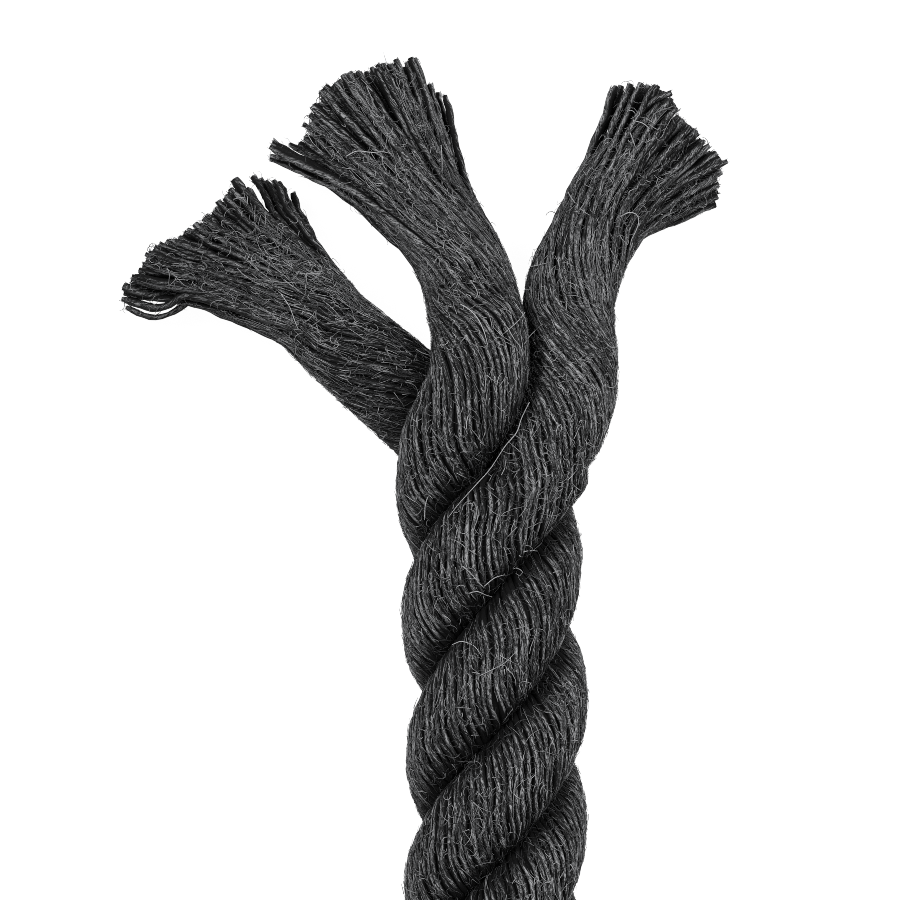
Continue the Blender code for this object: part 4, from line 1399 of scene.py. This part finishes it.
@dataclass
class NearEnd:
    """The laid strands in the photograph and their frayed ends."""

    jute: Material
    heart: Material
    fibre: Material
    sizes: StrandSizes = field(default_factory=StrandSizes)
    fibres_at_tip: int = 8
    standing_out: float = 0.05  # share of the hairs past the rope's outline that are left
    standing_clear: float = 1.5 * MM  # from the nearest yarn, where a hair stands out
    deepest: float = 0.2  # painted light on a yarn that lies under others in a frayed end
    blending: int = 8  # points over which the fan's own painted light sets in
    painted_shade_points: int = 8  # points past the lay over which the strand's painted shade sets in
    shade_fading: float = 0.55  # share of the strand's painted shade that fades towards the tips, where the fibres stand open
    turning: int = 12  # points over which the way out turns from the strand's to the fan's
    fan_rise: float = 13.0 * MM  # the less, the more the fan's ways out, and with them the yarns' painted light, spread sideways
    lowest_hair: float = 0.16 * MM

    def __post_init__(self) -> None:
        """Prepares the strands."""
        self.strands = [Strand(plan, self.sizes) for plan in STRANDS]
        for strand in self.strands:
            strand.press_against([other for other in self.strands if other is not strand])

    def build(self) -> None:
        """Builds every piece of the near end."""
        skins = []
        for number, strand in enumerate(self.strands):
            skins += self._build_strand(strand, 100 + number)
        skin = np.concatenate(skins)
        parts, rng = MeshParts(), np.random.default_rng(777)
        for thickness, course in DRAPED:
            line = self._resting(course, skin)
            radii = thickness * MM * (1.0 - 0.6 * np.linspace(0, 1, len(line)) ** 3)
            parts.add_tubes(line[None], radii[None], 4, rng.uniform(0.80, 1.0, 1), bluntness=0.0)
        parts.place("draped_loose_fibres", Slot.JUTE_YARN, [self.fibre])

    @staticmethod
    def _resting(course: tuple, skin: Array) -> Array:
        """Lays a fibre with a course in the photograph over a skin of the yarns' tops."""
        flat = smooth_through(from_photo(course), 0.8 * MM)
        heights = []
        for place in flat:
            near = np.linalg.norm(skin[:, :2] - place, axis=1) < 1.1 * MM
            heights.append(skin[near, 2].max() if near.any() else AXIS_HEIGHT)
        heights = np.convolve(np.pad(heights, 2, mode="edge"), np.ones(5) / 5, mode="valid")
        return np.column_stack([flat, np.maximum(heights, heights.mean() - 4 * MM) + 0.15 * MM])

    def _yarn_radii(self, rng: Random, lines: Array, thick: Array) -> Array:
        """Gives yarns their uneven thickness, more at their tips.

        Args:
            rng: the seeded source.
            lines: yarn by point by axis, the last FAN_POINTS of them in the frayed end.
            thick: each yarn's thickness at its tip, as a share of the usual.
        Returns:
            Yarn by point.
        """
        count, points = lines.shape[:2]
        along = np.linspace(0, 1, points) * float(lengths_along(lines[0])[-1])
        radii = self.sizes.yarn_radius * (1 + 0.13 * wavering(rng, along, count, 15 * MM))
        radii *= rng.uniform(0.88, 1.12, (count, 1))
        share = np.clip((np.arange(points) - (points - FAN_POINTS)) / FAN_POINTS, 0, 1)[None]
        looser = rng.uniform(-0.05, 0.50, (count, 1))
        uneven = 1 + 0.14 * share * wavering(rng, along, count, 6 * MM)
        radii = radii * (1 + looser * share) * uneven
        radii *= 1 + (thick - 1)[:, None] * share
        blunt = rng.uniform(0.45, 0.95, count)
        radii[:, -2] *= (2 + blunt) / 3
        radii[:, -1] *= blunt
        return radii

    def _build_strand(self, strand: Strand, seed: int) -> list[Array]:
        """Builds one strand, its bundles and its fibres.

        Args:
            strand: the strand.
            seed: of its randomness.
        Returns:
            The tops of its outer and its inner yarns.
        """
        rng, plan = np.random.default_rng(seed), strand.plan
        surface = strand.surface_yarns(rng)
        fan = FrayedEnd(strand, surface, plan.fray_seed)
        count, split = len(surface), surface.shape[1] - 1
        tones = rng.uniform(0, 1, len(fan.lines))
        outer, inner = self._beds(rng, strand, fan, surface, tones)
        parts = MeshParts()
        self._add_yarns(parts, outer, slice(None), keep=slice(0, split + 1))
        heart = strand.heart_rings(1.35 * self.sizes.yarn_radius)[None]
        still = np.zeros(heart.shape[:3])
        parts.add_rings(heart, end_means(heart), np.zeros(heart.shape), still, still, kind=1)
        parts.place(f"{plan.name}_strand_yarns", Slot.JUTE, [self.jute, self.heart],
                    [f"{plan.name}_strand"])
        apart = np.concatenate([np.zeros(split), np.clip(np.arange(FAN_POINTS) / 12, 0, 1)])
        for group in range(BUNDLES):
            bundle = MeshParts()
            for bed, groups, keep in ((outer, fan.groups[:count], slice(split, None)),
                                      (inner, fan.groups[count:], slice(None))):
                chosen = np.flatnonzero(groups == group)
                if len(chosen):
                    self._add_yarns(bundle, bed, chosen, keep=keep, bluntness=0.15,
                                    loose=apart[-bed.lines.shape[1]:])
            bundle.place(f"{plan.name}_frayed_yarns_{group + 1:02d}", Slot.JUTE_YARN,
                         [self.jute], [f"{plan.name}_yarn_bundle_{group + 1:02d}"])
        self._grow_fibres(plan.name, rng, outer, inner, split)
        return [(bed.lines + bed.radii[..., None] * UP).reshape(-1, 3) for bed in (outer, inner)]

    def _beds(self, rng: Random, strand: Strand, fan: FrayedEnd, surface: Array,
              tones: Array) -> list[FibreBed]:
        """Leads a strand's yarns to their tips, with their thickness and their light.

        Args:
            rng: the seeded source.
            strand: the strand.
            fan: its frayed end.
            surface: its outer yarns up to there.
            tones: one for each yarn of the frayed end, the outer ones first.
        Returns:
            The outer and the inner yarns. The inner ones begin a little inside the strand.
        """
        count, split = len(surface), surface.shape[1] - 1
        full = np.concatenate([surface, fan.lines[:count, 1:]], axis=1)
        inner = fan.lines[count:]
        back = inner[:, :1] - strand.heading * np.array([4.0, 2.0])[None, :, None] * MM
        inner = np.concatenate([back, inner], axis=1)
        # Painted shade: yarns that lie under others in a frayed end, and in the grooves between
        # strands, get less painted light.
        blend = np.clip(np.arange(FAN_POINTS) / self.blending, 0, 1)[None]
        in_fan = 1 - blend + blend * (self.deepest + (1 - self.deepest) * fan.light())
        light = strand.groove_light(full)
        light[:, split:] *= in_fan[:count]
        inner_light = np.concatenate([np.ones((len(inner), 2)), in_fan[count:]], axis=1)
        # Painted shade: past the lay each strand is darkened by its plan's share, less towards the
        # tips.
        places = np.arange(full.shape[1])
        shade_left = 1 - self.shade_fading * np.clip((places - split) / (FAN_POINTS - 1), 0, 1)
        strand_shade = 1 - strand.plan.painted_shade * eased((places - strand.laid_count) / self.painted_shade_points) * shade_left
        beds = []
        for lines, lit, own in ((full, light, slice(0, count)),
                                (inner, inner_light, slice(count, None))):
            radii = self._yarn_radii(rng, lines, fan.thick[own])
            ways = self._ways_out(lines)
            if lines is full:
                self._turn_ways(ways, unit(full[:, :split + 1] - strand.centres[None]))
            # Painted light on the tops of stray yarns, painted shade below.
            ways[fan.thick[own] != 1, self.turning - FAN_POINTS:] = UP
            beds.append(FibreBed(lines, ways, radii, lit, tones[own],
                                 lit * strand_shade[None, -lines.shape[1]:]))
        return beds

    def _ways_out(self, lines: Array) -> Array:
        """Gives the ways out of the fan, which hold for the whole of each line: the side of a yarn
        that faces its way out is painted light, the others painted shade.
        """
        fanned = lines[:, -FAN_POINTS:]
        ways = np.zeros_like(lines)
        ways[:, -FAN_POINTS:] = unit(fanned - fanned.mean(axis=0)[None] + UP * self.fan_rise)
        ways[:, :-FAN_POINTS] = ways[:, -FAN_POINTS:1 - FAN_POINTS]
        return ways

    def _turn_ways(self, ways: Array, at_strand: Array) -> None:
        """Turns the ways out from those at the strand to those in the fan."""
        split = at_strand.shape[1] - 1
        ways[:, :split + 1] = at_strand
        share = np.linspace(0, 1, self.turning)[None, :, None]
        after = slice(split, split + self.turning)
        ways[:, after] = unit((1 - share) * at_strand[:, -1:] + share * ways[:, after])

    def _add_yarns(self, parts: MeshParts, bed: FibreBed, chosen: Array | slice, **ways) -> None:
        """Adds some of a bed's yarns, with more arguments of add_tubes."""
        parts.add_tubes(bed.lines[chosen], bed.radii[chosen], self.sizes.sides,
                        bed.tones[chosen], outward=bed.outward[chosen], light=bed.dye_and_painted_light[chosen],
                        **ways)

    def _stand_out(self, hairs: Array, beds: Sequence[FibreBed]) -> Array:
        """Tells which hairs show outside the outline of the rope's yarns, seen from above."""
        yarns = np.concatenate([bed.lines.reshape(-1, 3) for bed in beds])
        tree = KDTree(len(yarns))
        for number, place in enumerate(yarns):
            tree.insert((place[0], place[1], 0.0), number)
        tree.balance()
        outside = np.zeros(len(hairs), dtype=bool)
        for number, hair in enumerate(hairs):
            away = max(tree.find((point[0], point[1], 0.0))[2] for point in hair)
            beyond = [np.min([(np.hypot(*(strand.centres[:, :2] - point[:2]).T)
                               - strand.radii).min() for strand in self.strands])
                      for point in (hair[len(hair) // 2], hair[-1])]
            outside[number] = away > self.standing_clear and max(beyond) > 0.4 * MM
        return outside

    def _grow_fibres(self, name: str, rng: Random, outer: FibreBed, inner: FibreBed,
                     split: int) -> None:
        """Grows the loose fibres of a strand and of its frayed end.

        Args:
            name: the strand's name.
            rng: the seeded source.
            outer: the outer yarns.
            inner: the inner yarns of the frayed end.
            split: the outer yarns' point where the frayed end begins.
        """
        open_light = (0.25, 1.0)
        # Each bed's stretch of points, its light, the palest tone without light, and the counts.
        # Fibres that grow in less light are darker: painted shade.
        jobs = (
            ("strand", 1.2, (
                (outer, (0, split + 2), (0.0, 1.0), 0.25,
                 {Hair.LYING: 1200, Hair.CROSSING: 4200, Hair.FLYAWAY: 60, Hair.HOOKED: 420}),
                (outer, (0, split), (0.0, 0.6), 0.60, {Hair.CROSSING: 1300, Hair.HOOKED: 110}))),
            ("frayed", 0.95, (
                (outer, (split, split + 33), open_light, 0.65,
                 {Hair.FRAYED: 1200, Hair.CROSSING: 2300, Hair.FLYAWAY: 20, Hair.HOOKED: 260}),
                (inner, (4, 35), open_light, 0.65, {Hair.FRAYED: 800, Hair.CROSSING: 700}),
                (outer, (split + 17, split + 33), open_light, 0.65,
                 {Hair.CROSSING: 700, Hair.HOOKED: 90}),
                (inner, (20, 35), open_light, 0.65, {Hair.CROSSING: 700, Hair.HOOKED: 90}))),
        )
        for part, evenness, beds in jobs:
            parts = MeshParts()
            for bed, stretch, lit, palest, counts in beds:
                for kind, count in counts.items():
                    points = {Hair.FRAYED: 5, Hair.FLYAWAY: 5, Hair.HOOKED: 6}.get(kind, 4)
                    lines, light = bed.grow(rng, count, kind, points, stretch,
                                            0.6 if kind in STANDING else -0.25, lit)
                    if kind in STANDING:
                        kept = ~self._stand_out(lines, (outer, inner))
                        kept |= rng.uniform(0, 1, len(kept)) < self.standing_out
                        lines, light = lines[kept], light[kept]
                    lift_to(lines, self.lowest_hair)
                    # Painted shade: each fibre's palest tone drops with the light where it grows.
                    add_hairs(parts, rng, lines, (0.048, 0.095),
                              1.0 - 0.7 * np.linspace(0, 1, points) ** 2,
                              palest + (1 - palest) * light, evenness)
            if part == "frayed":
                self._brush_tips(parts, rng, outer)
                self._brush_tips(parts, rng, inner)
            parts.place(f"{name}_{part}_loose_fibres", Slot.JUTE_YARN, [self.fibre])

    def _brush_tips(self, parts: MeshParts, rng: Random, bed: FibreBed) -> None:
        """Lets short fibres stand out of the cut ends of a bed's yarns."""
        yarn = np.repeat(np.arange(len(bed.lines)), self.fibres_at_tip)
        count = len(yarn)
        ahead = bed.tangents[yarn, -1]
        side = unit(np.cross(ahead, UP))
        angle = rng.uniform(0, TURN, (count, 1))
        spread = np.sqrt(rng.uniform(0.1, 1, (count, 1)))
        off = round_about(side, np.cross(side, ahead), angle[:, 0]) * spread
        start = bed.lines[yarn, -1] + off * bed.radii[yarn, -2][:, None] * 0.95 - ahead * 1.2 * MM
        length = rng.uniform(0.9, 1.6, (count, 1)) * MM
        way = unit(ahead + off * rng.uniform(-0.15, 0.25, (count, 1))
                   + rng.normal(0, 0.08, (count, 3)))
        lines = np.stack([start, start + way * length * 0.5,
                          start + way * length + rng.normal(0, 0.07, (count, 3)) * MM], axis=1)
        lift_to(lines, self.lowest_hair)
        radii = rng.uniform(0.06, 0.13, (count, 1)) * MM * np.array([[1.0, 0.9, 0.45]])
        parts.add_tubes(lines, radii, 3, rng.uniform(0.05, 0.75, count), bluntness=0.0)


@dataclass
class HankRoute:
    """The line of the rope's axis from the laid strands, through the hank, to the sleeve."""

    length: float = 2.222
    fold_radius: float = 0.095
    fold_drop: float = 0.030
    pitch: float = ROPE_DIAMETER + 4.5 * MM
    waist_pitch: float = ROPE_DIAMETER + 3.0 * MM
    waist_shift: float = 0.7 * ROPE_DIAMETER
    waist_length: float = 0.034
    waist_rise: float = 0.09
    sweep_points: int = 6
    fold_points: int = 12
    sleeved_shift: float = 0.25 * ROPE_DIAMETER
    sleeve_length: float = 0.060
    sleeve_wall: float = 1.5 * MM
    sunk: float = 0.5 * MM  # of the sleeve's wall under the rope, pressed into the floor's plane
    band_thickness: float = 2.0 * MM
    clearance: float = 0.3 * MM

    def __post_init__(self) -> None:
        """Finds the sweep that gives the rope its length."""
        self.waist_runs = [-self.waist_shift - number * self.waist_pitch for number in range(3)]
        low, high = ROPE_DIAMETER, self.length / 3
        for _ in range(32):
            middle = (low + high) / 2
            made = lengths_along(self._route(middle))[-1]
            low, high = (middle, high) if made < self.length else (low, middle)
        self.points = self._route(low)

    @staticmethod
    def _sweep(length: float, shift: float, share: float) -> float:
        """Gives how far an S-shaped move has gone sideways: two equal arcs."""
        radius = (length**2 + shift**2) / (4 * abs(shift))
        half = min(share, 1 - share)
        moved = radius - math.sqrt(radius**2 - (half * length) ** 2)
        return math.copysign(moved if share <= 0.5 else abs(shift) - moved, shift)

    def _run(self, x_start: float, x_waist: float, x_end: float, y_start: float, heading: int,
             length: float, straight_end: float = 0.0) -> list[tuple[float, float]]:
        """Lays one run: in to the waist, straight under the band and out again."""
        shares = [number / self.sweep_points for number in range(self.sweep_points + 1)]
        points = [(x_start + self._sweep(length, x_waist - x_start, share),
                   y_start + heading * share * length) for share in shares]
        y_out = points[-1][1] + heading * self.waist_length
        rest = length - straight_end
        points += [(x_waist + self._sweep(rest, x_end - x_waist, share),
                    y_out + heading * share * rest) for share in shares]
        if straight_end:
            points.append((x_end, y_out + heading * length))
        return points

    def _fold(self, x_start: float, x_end: float, y: float, heading: int) -> list:
        """Lays the half turn from one run to the next, without its ends."""
        centre, radius = (x_start + x_end) / 2, (x_start - x_end) / 2
        angles = np.linspace(0.0, math.pi, self.fold_points + 1)[1:-1]
        return [(centre + radius * math.cos(a), y + heading * abs(radius) * math.sin(a))
                for a in angles]

    def _route(self, sweep: float) -> Array:
        """Lays the whole route for one length of sweep."""
        far, waists = -2 * self.fold_radius - self.pitch, self.waist_runs
        y_top = -LAID_LENGTH - self.clearance
        y_fold = y_top - self.fold_radius - self.fold_drop
        lead = [(0.0, y_top), (0.0, (y_top + y_fold) / 2)]
        out = self._run(0.0, waists[0], 0.0, y_fold, -1, sweep)
        y_bottom = out[-1][1]
        back = self._run(far, waists[2], far, y_bottom, 1, sweep)
        last = self._run(-self.pitch, waists[1], -self.pitch - self.sleeved_shift, y_fold, -1,
                         sweep, self.sleeve_length)
        flat = np.array(lead + out + self._fold(0.0, far, y_bottom, -1) + back
                        + self._fold(far, -self.pitch, y_fold, 1) + last)
        self.y_waist = y_fold - sweep - self.waist_length / 2
        waist_lift = self.band_thickness + 2 * self.clearance + ROPE_DIAMETER / 2 - AXIS_HEIGHT
        sleeve_lift = (ROPE_DIAMETER / 2 + self.clearance + self.sleeve_wall - self.sunk
                       - AXIS_HEIGHT)
        off_waist = (np.abs(flat[:, 1] - self.y_waist) - self.waist_length / 2) / self.waist_rise
        lift = waist_lift * eased(1 - np.maximum(off_waist, 0.0))
        at_end = np.arange(len(flat)) >= len(flat) - self.sweep_points
        off_end = (flat[:, 1] - flat[-1, 1] - self.sleeve_length) / self.waist_rise
        sleeved = sleeve_lift * eased(1 - np.maximum(off_end, 0.0))
        lift = np.where(at_end, np.maximum(lift, sleeved), lift)
        return np.column_stack([flat, AXIS_HEIGHT + lift])


@dataclass
class Hank:
    """The rest of the rope, folded into three runs, with its band and its sleeve."""

    strands: list[Strand]
    jute: Material
    fibre: Material
    webbing: Material
    thread: Material
    shrink: Material
    ring_spacing: float = 3.8 * MM
    overlap: float = 0.6 * MM
    valley: float = 0.62 * MM
    unevenness: float = 0.13 * MM
    sway: float = 0.035  # radians about the strand, by which a yarn wavers
    neighbour: float = 0.433 * ROPE_DIAMETER  # from one strand's centre to the next one's
    band_width: float = 0.0250
    webbing_wall: float = 0.95 * MM
    webbing_edge: float = 0.35 * MM
    lap_length: float = 0.046
    stitch: float = 3.0 * MM
    stitch_radius: float = 0.19 * MM
    route: HankRoute = field(default_factory=HankRoute)

    def build(self) -> None:
        """Builds the folded rope, its fibres, its band and its sleeve."""
        axis = smooth_through(self.route.points, 3 * MM)
        axis = np.vstack([axis[:1] + (0.0, self.overlap, 0.0), axis[1:]])
        self.axis = evenly(axis, round(lengths_along(axis)[-1] / self.ring_spacing))
        strands, beds = zip(*[self._lay_strand(strand, 300 + number)
                              for number, strand in enumerate(self.strands)])
        fibres = [self._grow_fibres(strand.plan.name, bed, 330 + number)
                  for number, (strand, bed) in enumerate(zip(self.strands, beds))]
        band, stitches = self._build_band()
        sleeve = self._build_sleeve()

    def _lay_strand(self, strand: Strand, seed: int) -> tuple[Piece, FibreBed]:
        """Lays one strand along the hank as a skin of yarn ridges."""
        rng, sizes = np.random.default_rng(seed), strand.sizes
        tangents = tangents_of(self.axis)
        side = unit(np.cross(UP, tangents))
        above = unit(np.cross(tangents, side))
        along = lengths_along(self.axis) + LAID_LENGTH + self.route.clearance - self.overlap
        turn = (math.radians(strand.plan.turn) - TURN * along / LAY_LENGTH)[:, None]
        first = side * np.sin(turn) + above * np.cos(turn)
        second = side * np.cos(turn) - above * np.sin(turn)
        centres = self.axis + first * STRAND_REACH
        stretch = math.hypot(1.0, TURN * STRAND_REACH / LAY_LENGTH)
        twist = -sizes.twist_laid * stretch * along / MM
        # Each yarn's ridge has three points: in the valley before it, which is painted in shade,
        # and two on its crown.
        yarns = sizes.surface_yarns
        offsets = np.array([-0.5, -0.16, 0.16]) / yarns
        depths, crowns = np.array([self.valley, 0.0, 0.0]), np.array([0.0, 1.0, 1.0])
        shares = (np.arange(yarns)[:, None] / yarns + offsets).ravel()
        uneven = self.unevenness * wavering(rng, along, yarns, 21 * MM)
        sway = self.sway * wavering(rng, along, yarns, 27 * MM)
        angles = TURN * shares[None] + twist[:, None] + np.repeat(sway, 3, axis=0).T
        depth = np.tile(depths, yarns)[None] + np.repeat(uneven, 3, axis=0).T + 0.05 * MM
        ring = strand.reach[strand.laid_count // 2]
        reach = np.interp(angles % TURN, np.linspace(0, TURN, len(ring) + 1),
                          np.append(ring, ring[0]))
        rings = centres[:, None] + (round_about(first[:, None], second[:, None], angles)
                                    * (reach - depth)[..., None])
        lift_to(rings, 0.0)
        tones = np.broadcast_to(np.repeat(rng.uniform(0, 1, yarns), 3)[None], angles.shape)
        still = TURN * shares[None] + np.zeros_like(angles)
        radius_mm = sizes.radius / MM
        grains = np.stack([np.broadcast_to(along[:, None] / MM * 1.6, angles.shape),
                           radius_mm * np.cos(still), radius_mm * np.sin(still)], axis=-1)
        # Painted shade: the yarns are darker deep in the grooves between strands and on each
        # strand's side that faces into the rope.
        around = (angles + math.pi) % TURN - math.pi
        gap = np.sqrt(self.neighbour**2 + sizes.radius**2 - 2 * self.neighbour * sizes.radius
                      * np.cos(math.radians(150) - np.abs(around)))
        light = sizes.light_at(gap)
        light[np.abs(around) > math.radians(90)] = 0.0
        crowns = np.tile(crowns, yarns)[None] * crown_light(light)
        parts = MeshParts()
        parts.add_rings(rings[None], np.stack([centres[:1], centres[-1:]], axis=1), grains[None],
                        tones[None], crowns[None])
        piece = parts.place(f"hank_{strand.plan.name}_strand", Slot.JUTE, [self.jute],
                            ["rope_hank"])
        crests = rings[:, 1::3].transpose(1, 0, 2)
        return piece, FibreBed(crests, unit(crests - centres[None]), np.zeros(crests.shape[:2]),
                               light[:, 1::3].T, spread=28.0)

    def _grow_fibres(self, name: str, bed: FibreBed, seed: int) -> Piece:
        """Grows the loose fibres of one strand of the hank."""
        parts, rng = MeshParts(), np.random.default_rng(seed)
        for kind, count in ((Hair.LYING, 900), (Hair.CROSSING, 600), (Hair.FLYAWAY, 300),
                            (Hair.HOOKED, 180)):
            lines, light = bed.grow(rng, count, kind, 5)
            lift_to(lines, 0.15 * MM)
            # Painted shade: fibres deep in a groove are darker.
            add_hairs(parts, rng, lines, (0.07, 0.12), np.array([1.0, 1.0, 0.9, 0.7, 0.35]),
                      0.15 + 0.85 * light)
        return parts.place(f"hank_{name}_loose_fibres", Slot.JUTE_YARN, [self.fibre])

    def _band_outline(self, radius: float, count: int) -> Array:
        """Goes round the three runs at a distance, in x and z, from the middle of the top."""
        low, high = min(self.route.waist_runs), max(self.route.waist_runs)
        arc = np.linspace(0, math.pi, 25)
        right = np.stack([high + radius * np.sin(arc), radius * np.cos(arc)], axis=1)
        left = np.stack([low - radius * np.sin(arc), -radius * np.cos(arc)], axis=1)
        top = [((low + high) / 2, radius)]
        return evenly(np.vstack([top, right, left, top]), count)

    def _webbing_strip(self, tool: bmesh.types.BMesh, outline: Array, closed: bool,
                       width: float, wall: float, height: float) -> None:
        """Adds a strip of webbing to a mesh.

        Args:
            tool: the mesh.
            outline: x and z of the strip's inner side.
            closed: whether it meets itself.
            width: along Y.
            wall: its thickness.
            height: of the rope's axis at the waist.
        """
        edge = self.webbing_edge
        side, flat = width / 2, width / 2 - edge
        profile = [(-side, edge), (-flat, 0.0), (flat, 0.0), (side, edge), (side, wall - edge),
                   (flat, wall)]
        profile += [(rib, wall + 0.05 * MM * (-1) ** number)
                    for number, rib in enumerate(np.linspace(flat, -flat, 14)[1:-1])]
        profile += [(-flat, wall), (-side, wall - edge)]
        ways = unit(np.gradient(outline, axis=0))
        if closed:
            ways[0] = ways[-1] = unit(outline[1] - outline[-2])
        outward = np.stack([-ways[:, 1], ways[:, 0]], axis=1)
        layers = tool.verts.layers.float_vector
        layer = layers.get("grain") or layers.new("grain")
        along = lengths_along(outline) / MM
        rows = []
        for number in range(len(outline) - closed):
            row = []
            for across, up in profile:
                x, z = outline[number] + outward[number] * up
                vertex = tool.verts.new(Vector((x, self.route.y_waist + across, z + height))
                                        + Vector(LAY_END))
                vertex[layer] = (along[number], across / MM, up / MM)
                row.append(vertex)
            rows.append(row)
        for row, following in list(zip(rows, rows[1:])) + [(rows[-1], rows[0])] * closed:
            for number in range(len(profile)):
                after = (number + 1) % len(profile)
                tool.faces.new((row[number], row[after], following[after], following[number]))
        if not closed:
            tool.faces.new(rows[0])
            tool.faces.new(rows[-1])

    def _build_band(self) -> tuple[Piece, Piece]:
        """Builds the webbing band with its sewn lap, and the stitches."""
        route, wall = self.route, self.webbing_wall
        inner = ROPE_DIAMETER / 2 + 2 * route.clearance
        height = inner + route.band_thickness
        tool = bmesh.new()
        self._webbing_strip(tool, self._band_outline(inner + 0.05 * MM, 132), True,
                            self.band_width, wall, height)
        middle = (min(route.waist_runs) + max(route.waist_runs)) / 2
        lap_x = np.linspace(middle - self.lap_length / 2, middle + self.lap_length / 2, 25)
        lap = np.stack([lap_x, np.full(25, inner + wall + 0.07 * MM)], axis=1)
        self._webbing_strip(tool, lap, False, self.band_width - 0.6 * MM, wall - 0.1 * MM, height)
        bmesh.ops.recalc_face_normals(tool, faces=tool.faces)
        mesh = mesh_from(tool, "hank_band_webbing")
        mesh.shade_smooth()
        mesh.set_sharp_from_angle(angle=math.radians(50))
        band = place_piece("hank_band_webbing", mesh, [self.webbing],
                           ["hank_band"])
        return band, self._sew_lap(middle, height + inner + 2 * wall)

    def _sew_lap(self, middle: float, top: float) -> Piece:
        """Sews the lap with a box of stitches and a cross in it."""
        half_x, half_y = self.lap_length / 2 - 3.5 * MM, self.band_width / 2 - 3.5 * MM
        signs = ((-1, -1), (1, -1), (1, 1), (-1, 1), (-1, -1), (1, 1), (1, -1), (-1, 1))
        seam = np.array(signs) * (half_x, half_y)
        total = lengths_along(seam)[-1]
        arch = 0.16 * MM * np.sin(np.linspace(0, math.pi, 5)) - 0.10 * MM
        lines = []
        for share in np.arange(0.0, total - self.stitch, self.stitch) / total:
            start, end = at_shares(seam, np.array([share, share + 0.84 * self.stitch / total]))
            line = np.linspace(start, end, 5) + (middle, self.route.y_waist)
            lines.append(np.column_stack([line, top + 0.10 * MM + arch]))
        lines = np.array(lines)
        parts = MeshParts()
        parts.add_tubes(lines, np.full(lines.shape[:2], self.stitch_radius), 6,
                        np.zeros(len(lines)), spiral=2.2)
        return parts.place("hank_band_stitches", Slot.WEBBING, [self.thread])

    def _build_sleeve(self) -> Piece:
        """Builds the heat-shrink sleeve: a cup, drawn in over the strands inside it."""
        route = self.route
        bore = ROPE_DIAMETER / 2 + route.clearance
        outer = bore + route.sleeve_wall
        # Distances from the outer radius or the bore, and heights over the rope's end, in mm.
        closed_end = ((-5.0, -3.0), (-2.2, -2.65), (-0.7, -1.7), (0.0, 0.2))
        rim = ((-0.15, 59.2), (-0.7, 60.0))
        inside = ((0.35, 59.8), (0.0, 59.0), (0.0, 30.0), (0.0, 0.0))
        profile = [(0.0, -3.0 * MM)]
        profile += [(outer + off * MM, height * MM) for off, height in closed_end]
        profile += [(outer, height) for height in np.linspace(3.0 * MM, 57.0 * MM, 28)]
        profile += [(outer + off * MM, height * MM) for off, height in rim]
        profile += [(bore + off * MM, height * MM) for off, height in inside] + [(0.0, 0.0)]
        tool = bmesh.new()
        verts = [tool.verts.new((radius, 0.0, height)) for radius, height in profile]
        edges = [tool.edges.new(pair) for pair in zip(verts, verts[1:])]
        bmesh.ops.spin(tool, geom=verts + edges, cent=(0, 0, 0), axis=(0, 0, 1),
                       angle=TURN, steps=96, use_merge=True)
        bmesh.ops.remove_doubles(tool, verts=tool.verts, dist=1e-6)
        bmesh.ops.recalc_face_normals(tool, faces=tool.faces)
        for vertex in tool.verts:
            self._draw_in(vertex.co, bore + 0.2 * MM)
        end = self.route.points[-1] + LAY_END
        place = Matrix.Translation((end[0], end[1] - route.clearance, end[2]))
        bmesh.ops.transform(tool, matrix=place @ Matrix.Rotation(-math.pi / 2, 4, "X"),
                            verts=tool.verts)
        for vertex in tool.verts:
            vertex.co.z = max(vertex.co.z, 0.0)
        mesh = mesh_from(tool, "end_sleeve_heat_shrink")
        mesh.shade_smooth()
        return place_piece("end_sleeve_heat_shrink", mesh, [self.shrink],
                           ["end_sleeve"])

    @staticmethod
    def _draw_in(point: Vector, least: float) -> None:
        """Draws a point of the sleeve in between the strands, if it is further out than least."""
        radius = math.hypot(point.x, point.y)
        if radius < least:
            return
        turn = math.atan2(point.y, point.x)
        drawn = 0.5 - 0.5 * math.cos(3 * (turn + TURN * point.z / LAY_LENGTH))
        drawn *= min(1.0, max(0.0, (point.z + 1.0 * MM) / (9 * MM)))
        crease = math.sin(9 * turn + 260 * point.z) * math.sin(5 * turn - 90 * point.z)
        share = 1 - (0.95 * MM * drawn**2 + 0.05 * MM * crease) / radius
        point.x *= share
        point.y *= share


def main() -> None:
    """Builds the scene and reports its pieces."""
    logging.basicConfig(level=logging.INFO, format="%(name)s %(message)s")
    bpy.context.scene.view_settings.view_transform = "Standard"
    # The denoiser smears fibres that are one pixel wide, and so does a wide pixel filter.
    bpy.context.scene.cycles.use_denoising = False
    bpy.context.scene.cycles.filter_width = 0.9
    jute = DyedJute().make()
    # Painted shade: the heart under the outer yarns is coloured nearly black, darker than the
    # yarns, as the shade between them.
    heart = DyedJute(name="jute_heart_painted_shade", stops=((0.0, "#050506"), (1.0, "#101012"))).make()
    fibre = LooseFibre().make()
    Studio().build()
    near_end = NearEnd(jute, heart, fibre)
    near_end.build()
    Hank(near_end.strands, jute, fibre, PolyesterWebbing().make(), SewingThread().make(),
         HeatShrink().make()).build()


if __name__ == "__main__":
    main()
